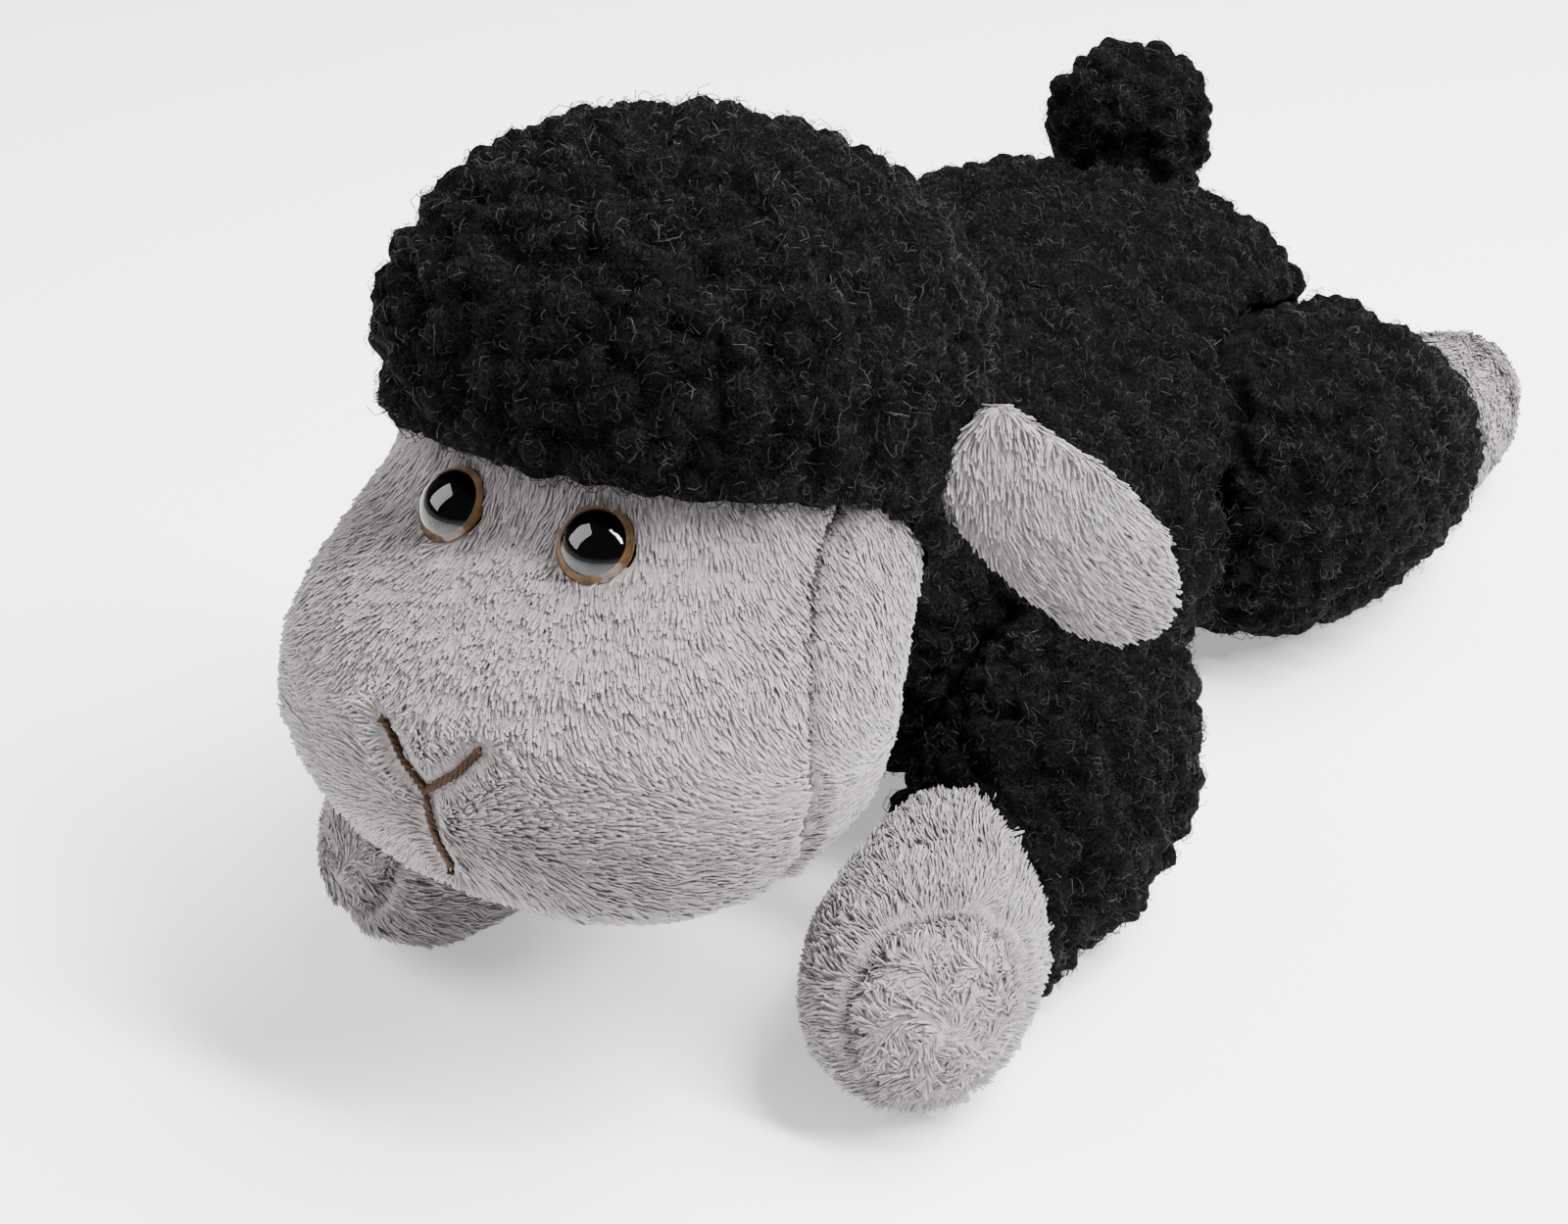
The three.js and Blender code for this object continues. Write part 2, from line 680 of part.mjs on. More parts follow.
function eyeDome() {
  const under = pupilTop + eyeGap;
  const rise = eyeDomeHeight - pupilRise;
  const roundness = (eyeRadius ** 2 + rise ** 2) / (2 * rise);
  const half = Math.asin(Math.min(eyeRadius / roundness, 1));
  const profile = [new THREE.Vector2(0, under), new THREE.Vector2(eyeRadius, under)];
  for (let step = 1; step <= eyeArcSteps; step += 1) {
    const angle = half * (1 - step / eyeArcSteps);
    const height = under + rise - roundness * (1 - Math.cos(angle));
    profile.push(new THREE.Vector2(roundness * Math.sin(angle), height));
  }
  return new THREE.LatheGeometry(profile, eyeSides);
}

function eyeRing() {
  const inside = pupilRadius + eyeGap;
  const profile = [
    [inside, plateTop + eyeGap], [eyeRadius, plateTop + eyeGap], [eyeRadius, pupilTop], [inside, pupilTop],
    [inside, plateTop + eyeGap],
  ].map(([radius, height]) => new THREE.Vector2(radius, height));
  return new THREE.LatheGeometry(profile, eyeSides);
}

function eyeBack() {
  const profile = [[0, -shankLength], [shankRadius / 2, -shankLength]];
  const pitch = (shankLength - clothGrip - shankRadius) / shankRibCount;
  for (let rib = 0; rib < shankRibCount; rib += 1) {
    const height = shankRadius - shankLength + rib * pitch;
    const ribTop = height + pitch / 2;
    profile.push([shankRadius, height], [shankRadius + shankRib, ribTop], [shankRadius, ribTop]);
  }
  profile.push([shankRadius, 0], [eyeRadius, 0], [eyeRadius, plateTop], [pupilRadius, plateTop]);
  profile.push([pupilRadius, pupilTop], [0, pupilTop]);
  const points = profile.map(([radius, height]) => new THREE.Vector2(radius, height));
  return new THREE.LatheGeometry(points, eyeSides);
}

// The lock washer: a disc whose hole has sprung teeth between radial slots.
function eyeWasher() {
  const bore = shankRadius + shankRib + eyeGap;
  const disc = new THREE.Shape();
  disc.absarc(0, 0, washerRadius, 0, 2 * Math.PI);
  const hole = [];
  for (let tooth = 0; tooth < washerTeeth; tooth += 1) {
    const slot = Math.asin(washerSlotWidth / 2 / bore);
    const centre = (2 * Math.PI * tooth) / washerTeeth;
    const next = centre + (2 * Math.PI) / washerTeeth;
    const far = bore + washerSlotLength;
    const polar = (radius, angle) => new THREE.Vector2(radius * Math.cos(angle), radius * Math.sin(angle));
    const narrow = Math.asin(washerSlotWidth / 2 / far);
    hole.push(polar(bore, centre - slot), polar(far, centre - narrow), polar(far, centre + narrow));
    hole.push(polar(bore, centre + slot), polar(bore, (centre + next) / 2));
  }
  disc.holes.push(new THREE.Path(hole.reverse()));
  const geometry = new THREE.ExtrudeGeometry(disc, {
    depth: washerThickness, bevelEnabled: false, curveSegments: eyeSides / 2,
  });
  geometry.rotateX(Math.PI / 2);
  geometry.translate(0, washerTop, 0);
  return geometry;
}

for (const [name, side] of sides) {
  const aim = vector(side * eyeSpread, 0, eyeLevelShare * headHeight - chinDrop);
  const { point, normal } = seatOn(head, aim, forwards, eyeRadius);
  const eyeGroup = new THREE.Group();
  eyeGroup.quaternion.setFromUnitVectors(vector(0, 1, 0), normal);
  eyeGroup.position.copy(point).addScaledVector(normal, -eyeSink);
  eyeGroup.updateMatrix();
  headGroup.add(eyeGroup);
  addPiece(eyeGroup, `eye_${name}_dome`, solidOf(eyeDome()), clear);
  addPiece(eyeGroup, `eye_${name}_iris`, solidOf(eyeRing()), amber);
  addPiece(eyeGroup, `eye_${name}_back`, solidOf(eyeBack()), black);
  addPiece(eyeGroup, `eye_${name}_washer`, solidOf(eyeWasher()), washerPlastic);
  const at = (height) => point.clone().addScaledVector(normal, height - eyeSink);
  const inwards = normal.clone().negate();
  const shankHole = drill(at(overrun), inwards, shankRadius + shankRib + clearance, 2 * overrun);
  face = face.subtract(drill(at(-clearance), normal, eyeRadius + clearance, overrun))
    .subtract(drill(at(washerTop + clearance), inwards, washerRadius + clearance, overrun))
    .subtract(shankHole);
  const shankEnd = at(-shankLength - clearance);
  headFill = headFill.subtract(drill(shankEnd, normal, washerRadius + clearance, overrun));
}

// Nose and mouth: three threads that meet in a Y, half sunk in a groove of the face panel.
function threadAlong(places, radius) {
  const points = places.map(([across, level]) => {
    const { point, normal } = seatOn(head, vector(across, 0, level), forwards, threadRadius);
    return point.addScaledVector(normal, noseSinkShare * threadRadius);
  });
  const section = new THREE.Shape();
  section.absarc(0, 0, radius, 0, 2 * Math.PI);
  return solidOf(new THREE.ExtrudeGeometry(section, {
    steps: threadSteps, curveSegments: threadSides / 2, extrudePath: new THREE.CatmullRomCurve3(points),
  }));
}

function noseStitch(radius) {
  const level = noseLevelShare * headHeight - chinDrop;
  const arm = (side) => threadAlong([
    [0, level],
    [side * noseArmSpread * noseBendAcrossShare, level + noseArmRise * noseBendUpShare],
    [side * noseArmSpread, level + noseArmRise],
  ], radius);
  const stem = threadAlong([[0, level], [0, level - noseStemDrop / 2], [0, level - noseStemDrop]], radius);
  return stem.add(arm(1)).add(arm(-1));
}

addPiece(headGroup, 'nose_stitch', noseStitch(threadRadius), thread);
face = face.subtract(noseStitch(threadRadius + clearance));

const seamPoint = vector(0, -cheekSeamShare * faceReach, 0);
const seamWay = forwards.clone().applyAxisAngle(vector(1, 0, 0), radians(cheekSeamTilt));
const cheeks = face.subtract(beyond(seamPoint.clone().addScaledVector(seamWay, -clearance), seamWay));
addPiece(headGroup, 'face_front_panel', face.intersect(beyond(seamPoint, seamWay)), plush);
for (const [name, side] of sides) {
  const cheek = cheeks.intersect(beyond(vector(side * clearance / 2, 0, 0), vector(side, 0, 0)));
  addPiece(headGroup, `cheek_${name}_panel`, cheek, plush);
}
addPiece(headGroup, 'head_wool_cap', cap, wool);
addPiece(headGroup, 'head_stuffing', headFill, stuffing);

// The part's origin is under the middle of the whole sheep, on the ground.
sheep.updateMatrixWorld(true);
const middle = new THREE.Box3().setFromObject(sheep, true).getCenter(vector());
sheep.position.set(-middle.x, -middle.y, 0);
const part = new THREE.Group();
part.add(sheep);

export default part;
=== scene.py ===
"""A plush sheep that lies on its belly, dressed for a studio picture.

Black curly wool covers the body, the sleeves, the tail and the crown of the head. The face, the ears,
the paws and the feet are short grey plush. The eyes are plastic safety eyes, and the nose is sewn.
Lengths are millimetres in the classes, and metres in the meshes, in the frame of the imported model.
"""

import json
import logging
import math
from collections.abc import Callable
from dataclasses import dataclass, field
from enum import Enum

import bmesh
import bpy
import numpy as np
from mathutils import Matrix, Vector
from mathutils.bvhtree import BVHTree
from mathutils.kdtree import KDTree


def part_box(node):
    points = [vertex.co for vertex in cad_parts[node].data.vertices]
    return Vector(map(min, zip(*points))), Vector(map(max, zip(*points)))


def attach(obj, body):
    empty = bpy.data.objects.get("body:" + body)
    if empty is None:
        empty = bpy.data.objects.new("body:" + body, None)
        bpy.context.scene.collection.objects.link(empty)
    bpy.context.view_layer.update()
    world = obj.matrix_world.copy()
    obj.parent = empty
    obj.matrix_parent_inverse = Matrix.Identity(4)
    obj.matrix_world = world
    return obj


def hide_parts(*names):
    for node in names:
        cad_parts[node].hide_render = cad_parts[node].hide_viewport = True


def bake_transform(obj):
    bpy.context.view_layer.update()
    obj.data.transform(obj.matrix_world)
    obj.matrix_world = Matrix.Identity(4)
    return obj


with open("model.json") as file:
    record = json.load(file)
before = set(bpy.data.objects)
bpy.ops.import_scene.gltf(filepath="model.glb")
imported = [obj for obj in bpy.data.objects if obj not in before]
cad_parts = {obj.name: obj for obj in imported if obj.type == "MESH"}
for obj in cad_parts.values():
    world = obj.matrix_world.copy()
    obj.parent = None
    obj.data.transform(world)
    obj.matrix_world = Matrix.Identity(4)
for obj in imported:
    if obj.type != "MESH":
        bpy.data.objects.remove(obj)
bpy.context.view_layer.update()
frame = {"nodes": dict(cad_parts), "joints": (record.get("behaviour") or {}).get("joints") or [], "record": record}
log = logging.getLogger("sheep")

Tree = bpy.types.NodeTree
Node = bpy.types.Node
Socket = bpy.types.NodeSocket
Sockets = bpy.types.NodeOutputs
Material = bpy.types.Material
Mesh = bpy.types.Mesh
Piece = bpy.types.Object

MM = 0.001
WELD_GAP = 0.001
CM2_PER_M2 = 1e4
SEEDS_PER_SIDE = 3
UP = Vector((0, 0, 1))
JOINTS = {joint["name"]: joint for joint in frame["joints"]}


class Side(Enum):
    """One side of the sheep, as it sees itself."""

    LEFT = "left"
    RIGHT = "right"

    @property
    def sign(self) -> int:
        """1 on the left, where x is positive, and -1 on the right."""
        return 1 if self is Side.LEFT else -1


# Nodes

def linear(hex_colour: str) -> tuple[float, float, float, float]:
    """Turns an sRGB hex colour to linear light.

    Args:
        hex_colour: The colour as #rrggbb.

    Returns:
        Red, green, blue and an alpha of 1.
    """
    channels = [int(hex_colour[start:start + 2], 16) / 255 for start in (1, 3, 5)]
    red, green, blue = (
        value / 12.92 if value <= 0.04045 else ((value + 0.055) / 1.055) ** 2.4 for value in channels
    )
    return red, green, blue, 1.0


def add_node(tree: Tree, kind: str, inputs: dict | None = None, **settings) -> Node:
    """Adds a node with its settings and links.

    Args:
        tree: The tree that gets the node.
        kind: The node's type name.
        inputs: A value, or the output socket to link, for each input by name or number.
        **settings: Values of the node's own properties.

    Returns:
        The new node.
    """
    node = tree.nodes.new(kind)
    for name, value in settings.items():
        setattr(node, name, value)
    for name, value in (inputs or {}).items():
        socket = node.inputs[name]
        if isinstance(value, Socket):
            tree.links.new(value, socket)
        else:
            socket.default_value = value
    return node


def maths(tree: Tree, operation: str, *values: float | Socket) -> Socket:
    """Adds one step of arithmetic, by its name in the Math node, and gives its result."""
    return add_node(tree, "ShaderNodeMath", dict(enumerate(values)), operation=operation).outputs[0]


def centred(tree: Tree, value: Socket, width: float) -> Socket:
    """Spreads a value from 0 to 1 over a range of some width, with 0 in its middle."""
    return maths(tree, "MULTIPLY_ADD", value, width, -width / 2)


def remap(tree: Tree, value: Socket, source: tuple, target: tuple, blend: str = "LINEAR") -> Socket:
    """Maps a value from the source range to the target range."""
    return add_node(tree, "ShaderNodeMapRange", {
        "Value": value, "From Min": source[0], "From Max": source[1],
        "To Min": target[0], "To Max": target[1],
    }, interpolation_type=blend).outputs[0]


def per(size: float) -> float:
    """The scale of a texture whose grains are some millimetres wide."""
    return 1 / (size * MM)


def noise(tree: Tree, place: Socket, scale: float | Socket, detail: float = 2.0,
          twist: float = 0.0) -> Sockets:
    """Adds a noise texture.

    Args:
        tree: The tree that gets it.
        place: The coordinates.
        scale: Its scale.
        detail: How many finer noises it adds up.
        twist: How far it is distorted.

    Returns:
        Its outputs: the value, and the colour.
    """
    return add_node(tree, "ShaderNodeTexNoise", {
        "Vector": place, "Scale": scale, "Detail": detail, "Distortion": twist,
    }).outputs


def colour_ramp(tree: Tree, factor: Socket, stops: dict[float, str]) -> Socket:
    """Adds a colour ramp.

    Args:
        tree: The tree that gets the ramp.
        factor: What drives it, from 0 to 1.
        stops: A hex colour for each place along it.

    Returns:
        The colour.
    """
    ramp = add_node(tree, "ShaderNodeValToRGB", {"Fac": factor})
    elements = ramp.color_ramp.elements
    places = sorted(stops)
    for element, place in zip(elements, (places[0], places[-1])):
        element.position = place
        element.color = linear(stops[place])
    for place in places[1:-1]:
        elements.new(place).color = linear(stops[place])
    return ramp.outputs[0]


def bump(tree: Tree, height: Socket, depth: float, strength: float = 1.0) -> Socket:
    """Makes the normal of a relief that is some millimetres deep."""
    return add_node(tree, "ShaderNodeBump", {
        "Height": height, "Distance": depth * MM, "Strength": strength,
    }).outputs[0]


def on_mesh(tree: Tree, name: str) -> Socket:
    """Reads, in a material, the number that the mesh stores under a name."""
    return add_node(tree, "ShaderNodeAttribute", attribute_name=name).outputs["Fac"]


def object_place(tree: Tree) -> Socket:
    """Reads, in a material, the place in the object's own coordinates."""
    return add_node(tree, "ShaderNodeTexCoord").outputs["Object"]


# Finishes

@dataclass(frozen=True)
class Finish:
    """What every finish has: its name, and how its surface shines."""

    title: str = ""
    roughness: float = 0.5
    specular: float = 0.5
    ior: float = 1.5

    def material(self) -> Material:
        """Makes the material."""
        made = bpy.data.materials.new(self.title)
        made.use_nodes = True
        tree = made.node_tree
        tree.nodes.clear()
        shader = add_node(tree, "ShaderNodeBsdfPrincipled", {
            "Roughness": self.roughness, "Specular IOR Level": self.specular, "IOR": self.ior,
            **self.surface(tree),
        })
        add_node(tree, "ShaderNodeOutputMaterial", {"Surface": shader.outputs[0]})
        return made

    def surface(self, tree: Tree) -> dict[str, object]:
        """Makes what sets the finish apart, such as its colour and its relief.

        Args:
            tree: The material's tree.

        Returns:
            More of the shader's inputs, by name.
        """
        raise NotImplementedError


@dataclass(frozen=True)
class BoucleYarn(Finish):
    """Acrylic boucle yarn, knitted and raised to small frizzy curls: charcoal, with a soft broad sheen."""

    title: str = "acrylic_boucle_yarn"
    deep: str = "#020202"
    middle: str = "#0d0d0e"
    bright: str = "#3a3a3c"
    tone_size: float = 9.0
    tone_lift: float = 0.1
    roughness: float = 0.5
    specular: float = 0.18

    def surface(self, tree: Tree) -> dict[str, object]:
        """Changes the tone from curl to curl."""
        drift = noise(tree, object_place(tree), per(self.tone_size))[0]
        mixed = maths(tree, "MULTIPLY_ADD", on_mesh(tree, "tone"), drift, self.tone_lift)
        return {"Base Color": colour_ramp(tree, mixed, {0.0: self.deep, 0.35: self.middle, 1.0: self.bright})}


@dataclass(frozen=True)
class BoucleGround(Finish):
    """The dense frizz between the curls of the boucle: nearly black, of fine crossing curly fibres."""

    title: str = "acrylic_boucle_ground"
    deep: str = "#000000"
    bright: str = "#1a1a1b"
    fibre_sizes: tuple[float, ...] = (0.6, 0.9, 1.3)
    fibre_share: float = 0.05
    fibre_height: float = 0.4
    fibre_twist: float = 0.8
    layer_step: float = 3.0
    tone_size: float = 4.0
    roughness: float = 0.8
    specular: float = 0.03

    def surface(self, tree: Tree) -> dict[str, object]:
        """Draws a fibre wherever a noise crosses its middle value.

        Args:
            tree: The material's tree.

        Returns:
            The colour and the relief.
        """
        place = object_place(tree)
        lines = []
        for number, size in enumerate(self.fibre_sizes):
            wave = add_node(tree, "ShaderNodeTexNoise", {
                "Vector": place, "W": self.layer_step * number, "Scale": per(size), "Detail": 2.0,
                "Distortion": self.fibre_twist,
            }, noise_dimensions="4D").outputs[0]
            apart = maths(tree, "ABSOLUTE", maths(tree, "SUBTRACT", wave, 0.5))
            lines.append(remap(tree, apart, (0.0, self.fibre_share), (1.0, 0.0), "SMOOTHSTEP"))
        frizz = lines[0]
        for line in lines[1:]:
            frizz = maths(tree, "MAXIMUM", frizz, line)
        toned = maths(tree, "MULTIPLY", frizz, noise(tree, place, per(self.tone_size))[0])
        return {
            "Base Color": colour_ramp(tree, toned, {0.05: self.deep, 0.6: self.bright}),
            "Normal": bump(tree, frizz, self.fibre_height),
        }


@dataclass(frozen=True)
class MinkyPile(Finish):
    """Polyester minky pile, knitted, cut and brushed: warm grey, paler at the tips and darker at the roots, where
    the dark is painted shade between the tufts.
    """

    title: str = "polyester_minky_pile"
    # painted shade: the tuft's colour runs from dark at the root to pale at the tip
    root: str = "#787373"
    middle: str = "#8c8687"
    tip: str = "#9b9596"
    tone_share: float = 0.3
    tone_size: float = 7.0
    hairs: float = 9.0
    hair_share: float = 0.6
    hair_depth: float = 0.12
    speck_size: float = 0.28
    speck_share: float = 0.7
    roughness: float = 0.6
    specular: float = 0.25
    sheen: float = 0.2

    def surface(self, tree: Tree) -> dict[str, object]:
        """Colours a tuft by the place along it and a tone of its own, darker towards the root as painted shade,
        with fine hairs and specks.

        Args:
            tree: The material's tree.

        Returns:
            The colour, the sheen and the relief.
        """
        place = object_place(tree)
        tone = on_mesh(tree, "tone")
        spread = maths(tree, "ADD", tone, noise(tree, place, per(self.tone_size))[0])
        shift = maths(tree, "MULTIPLY_ADD", spread, self.tone_share, -self.tone_share)
        strands = add_node(tree, "ShaderNodeCombineXYZ", {0: on_mesh(tree, "around"), 1: tone}).outputs[0]
        hairs = noise(tree, strands, self.hairs, detail=1.0)[0]
        streak = centred(tree, hairs, self.hair_share)
        specks = noise(tree, place, per(self.speck_size), detail=1.0)[0]
        speck = centred(tree, specks, self.speck_share)
        # painted shade: the place along the tuft darkens its root
        lean = maths(tree, "ADD", on_mesh(tree, "along"), shift)
        factor = maths(tree, "ADD", lean, maths(tree, "ADD", streak, speck))
        return {
            "Base Color": colour_ramp(tree, factor, {0.0: self.root, 0.5: self.middle, 1.0: self.tip}),
            "Sheen Weight": self.sheen, "Normal": bump(tree, hairs, self.hair_depth),
        }


@dataclass(frozen=True)
class MinkyGround(Finish):
    """The knitted backing under the minky pile, seen only between tufts: a darker warm grey, with painted shade in
    the seams.
    """

    title: str = "polyester_minky_backing"
    # painted shade: the dark colour down in the seams, where the pile parts
    seam: str = "#2b2828"
    deep: str = "#787272"
    bright: str = "#908a8b"
    painted_seam_shade: float = 0.6
    fibre_size: float = 0.5
    fibre_height: float = 0.35
    fibre_strength: float = 0.8
    roughness: float = 0.9
    specular: float = 0.2

    def surface(self, tree: Tree) -> dict[str, object]:
        """Draws the roots of tufts by noise, with painted shade that darkens them down in the seams."""
        roots = noise(tree, object_place(tree), per(self.fibre_size), detail=3.0)[0]
        # painted shade: the backing is darkened towards the seams
        sunk = maths(tree, "MULTIPLY_ADD", on_mesh(tree, "seam"), -self.painted_seam_shade, roots)
        return {
            "Base Color": colour_ramp(tree, sunk, {0.0: self.seam, 0.3: self.deep, 0.7: self.bright}),
            "Normal": bump(tree, roots, self.fibre_height, self.fibre_strength),
        }


@dataclass(frozen=True)
class Mottled(Finish):
    """A finish of two tones that a noise mixes, and of the relief of the same noise."""

    dark: str = "#000000"
    light: str = "#ffffff"
    dark_end: float = 0.3
    light_end: float = 0.7
    grain_size: float = 1.0
    detail: float = 3.0
    twist: float = 0.0
    relief: float = 0.0

    def surface(self, tree: Tree) -> dict[str, object]:
        """Mixes the tones, and raises the light one if the finish has relief."""
        grains = noise(tree, object_place(tree), per(self.grain_size), self.detail, self.twist)[0]
        tones = {self.dark_end: self.dark, self.light_end: self.light}
        made = {"Base Color": colour_ramp(tree, grains, tones)}
        if self.relief:
            made["Normal"] = bump(tree, grains, self.relief)
        return made


@dataclass(frozen=True)
class FibreFill(Mottled):
    """Carded polyester filling, white and matt, in soft wisps, which lies inside the covers."""

    title: str = "polyester_fibre_fill"
    dark: str = "#c9c5bc"
    light: str = "#e9e6df"
    grain_size: float = 4.0
    detail: float = 5.0
    twist: float = 1.5
    relief: float = 1.0
    roughness: float = 1.0


@dataclass(frozen=True)
class AmberPaint(Mottled):
    """Amber lacquer behind the dome, brown to honey-coloured, in a slightly uneven coat."""

    title: str = "amber_lacquer"
    dark: str = "#3c2816"
    light: str = "#7f5b34"
    grain_size: float = 1.6
    roughness: float = 0.35


@dataclass(frozen=True)
class BlackNylon(Mottled):
    """Moulded black nylon of the eye's pupil and shank, with faint mould marks. Its gloss is the dome's."""

    title: str = "moulded_black_nylon"
    dark: str = "#020202"
    light: str = "#040404"
    dark_end: float = 0.4
    grain_size: float = 0.8
    detail: float = 2.0
    roughness: float = 0.4
    specular: float = 0.0
    ior: float = 1.53


@dataclass(frozen=True)
class WhiteNylon(Mottled):
    """Moulded white nylon of the lock washer, half matt and a little milky."""

    title: str = "moulded_white_nylon"
    dark: str = "#d3d0c8"
    light: str = "#e6e4de"
    grain_size: float = 3.0
    detail: float = 2.0
    roughness: float = 0.45
    ior: float = 1.53
    milkiness: float = 0.15
    milk_depth: float = 0.5

    def surface(self, tree: Tree) -> dict[str, object]:
        """Mixes the tones, and lets a little light in."""
        return {
            **super().surface(tree),
            "Subsurface Weight": self.milkiness, "Subsurface Scale": self.milk_depth * MM,
        }


@dataclass(frozen=True)
class BrownThread(Mottled):
    """Twisted polyester thread, dull brown with paler fibres on its crowns."""

    title: str = "twisted_polyester_thread"
    dark: str = "#180d04"
    light: str = "#432c12"
    grain_size: float = 0.25
    relief: float = 0.1
    roughness: float = 0.65
    specular: float = 0.2


@dataclass(frozen=True)
class ClearAcrylic(Finish):
    """Cast acrylic of the eye's dome: clear, with a moulded polish."""

    title: str = "cast_acrylic_dome"
    colour: str = "#fdfaf4"
    roughness: float = 0.015
    specular: float = 0.3
    ior: float = 1.49

    def surface(self, tree: Tree) -> dict[str, object]:
        """Lets all light through, slightly tinted."""
        return {"Base Color": linear(self.colour), "Transmission Weight": 1.0}


@dataclass(frozen=True)
class PaperSweep(Finish):
    """Pale matt paper of the studio floor, which also glows as painted light, though it is no lamp, and lights the
    sheep from below.
    """

    title: str = "matt_white_paper"
    colour: str = "#fafafa"
    glow: float = 0.5
    front_glow: float = 0.2
    fade: tuple[float, float] = (-520.0, -260.0)
    roughness: float = 0.9
    specular: float = 0.1

    def surface(self, tree: Tree) -> dict[str, object]:
        """Makes the paper glow a little, and less in front of the sheep."""
        back = add_node(tree, "ShaderNodeSeparateXYZ", {0: object_place(tree)}).outputs[1]
        start, end = self.fade
        # painted light: the paper glows, less in front of the sheep
        glow = remap(tree, back, (start * MM, end * MM), (self.front_glow, self.glow), "SMOOTHSTEP")
        return {
            "Base Color": linear(self.colour), "Emission Color": linear(self.colour),
            "Emission Strength": glow,
        }


def made_by(finish: type[Finish]) -> Material:
    """A field that holds the material of a finish."""
    return field(default_factory=lambda: finish().material())


@dataclass
class Finishes:
    """All materials of the sheep, each made once."""

    yarn: Material = made_by(BoucleYarn)
    wool_ground: Material = made_by(BoucleGround)
    pile: Material = made_by(MinkyPile)
    plush_ground: Material = made_by(MinkyGround)
    fill: Material = made_by(FibreFill)
    dome: Material = made_by(ClearAcrylic)
    iris: Material = made_by(AmberPaint)
    pupil: Material = made_by(BlackNylon)
    washer: Material = made_by(WhiteNylon)
    thread: Material = made_by(BrownThread)
    paper: Material = made_by(PaperSweep)


# Meshes

def new_object(name: str, data: bpy.types.ID) -> Piece:
    """Links a new object for a mesh, lamp or camera to the scene."""
    made = bpy.data.objects.new(name, data)
    bpy.context.scene.collection.objects.link(made)
    return made


def mesh_object(name: str, places: list, faces: list, material: Material) -> Piece:
    """Makes a smooth mesh object.

    Args:
        name: The piece's name.
        places: The vertices, in metres.
        faces: Vertex numbers of each face.
        material: The one material.

    Returns:
        The object.
    """
    mesh = bpy.data.meshes.new(name)
    mesh.from_pydata([tuple(place) for place in places], [], faces)
    mesh.materials.append(material)
    mesh.shade_smooth()
    return new_object(name, mesh)


def freeze(made: Piece) -> None:
    """Turns an object's modifiers into its plain mesh."""
    graph = bpy.context.evaluated_depsgraph_get()
    mesh = bpy.data.meshes.new_from_object(made.evaluated_get(graph))
    made.modifiers.clear()
    old = made.data
    made.data = mesh
    mesh.name = made.name
    bpy.data.meshes.remove(old)


def read_rows(rows: bpy.types.bpy_prop_collection, key: str) -> np.ndarray:
    """Reads a vector of each vertex as rows of x, y, z."""
    flat = np.empty(len(rows) * 3)
    rows.foreach_get(key, flat)
    return flat.reshape(-1, 3)


def vertices_of(mesh: Mesh) -> np.ndarray:
    """Reads a mesh's vertices, in metres."""
    return read_rows(mesh.vertices, "co")


def normals_of(mesh: Mesh) -> np.ndarray:
    """Reads a mesh's vertex normals."""
    return read_rows(mesh.vertex_normals, "vector")


def reshape(mesh: Mesh, places: np.ndarray) -> None:
    """Moves a mesh's vertices to new places."""
    mesh.vertices.foreach_set("co", places.ravel())
    mesh.update()


def set_attribute(mesh: Mesh, name: str, values: np.ndarray) -> None:
    """Stores a number or a vector on each vertex.

    Args:
        mesh: The mesh that gets it.
        name: The attribute's name.
        values: One row for each vertex.
    """
    kind, key = ("FLOAT", "value") if values.ndim == 1 else ("FLOAT_VECTOR", "vector")
    attribute = mesh.attributes.new(name, kind, "POINT")
    attribute.data.foreach_set(key, values.astype(np.float32).ravel())


def face_outwards(mesh: Mesh, merge_gap: float = 0.0) -> None:
    """Merges vertices within a gap in millimetres, if there is one, and turns all faces outwards."""
    made = bmesh.new()
    made.from_mesh(mesh)
    if merge_gap:
        bmesh.ops.remove_doubles(made, verts=made.verts, dist=merge_gap * MM)
    bmesh.ops.recalc_face_normals(made, faces=made.faces)
    made.to_mesh(mesh)
    made.free()


def merged(nodes: list[str]) -> bmesh.types.BMesh:
    """Copies CAD nodes into one mesh with their loose triangles merged."""
    made = bmesh.new()
    for node in nodes:
        made.from_mesh(frame["nodes"][node].data)
    bmesh.ops.remove_doubles(made, verts=made.verts, dist=WELD_GAP * MM)
    return made


def tree_of(nodes: list[str]) -> BVHTree:
    """Makes a search tree of some CAD nodes' surfaces."""
    mesh = merged(nodes)
    tree = BVHTree.FromBMesh(mesh)
    mesh.free()
    return tree


def points_tree(points: list | np.ndarray) -> KDTree:
    """Makes a search tree of points."""
    search = KDTree(len(points))
    for number, point in enumerate(points):
        search.insert(point, number)
    search.balance()
    return search


def distances(places: np.ndarray, tree: BVHTree) -> np.ndarray:
    """Measures how far each place is from a surface, in metres."""
    return np.array([tree.find_nearest(place)[3] for place in places])


def eased(values: np.ndarray, low: float, high: float) -> np.ndarray:
    """Eases values from 0 at low to 1 at high."""
    share = np.clip((values - low) / (high - low), 0, 1)
    return share * share * (3 - 2 * share)


def nearness(gaps: np.ndarray, reach: float) -> np.ndarray:
    """Falls from 1 at no gap towards 0 beyond a reach in millimetres."""
    return np.exp(-(gaps / (reach * MM)) ** 2)


def unit(vectors: np.ndarray, least: float) -> np.ndarray:
    """Makes rows of length 1, where least is a tiny length that keeps empty rows empty."""
    return vectors / (np.linalg.norm(vectors, axis=1)[:, None] + least)


def middle_of(node: str) -> Vector:
    """Finds the middle of a CAD node's box."""
    low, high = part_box(node)
    return (low + high) / 2


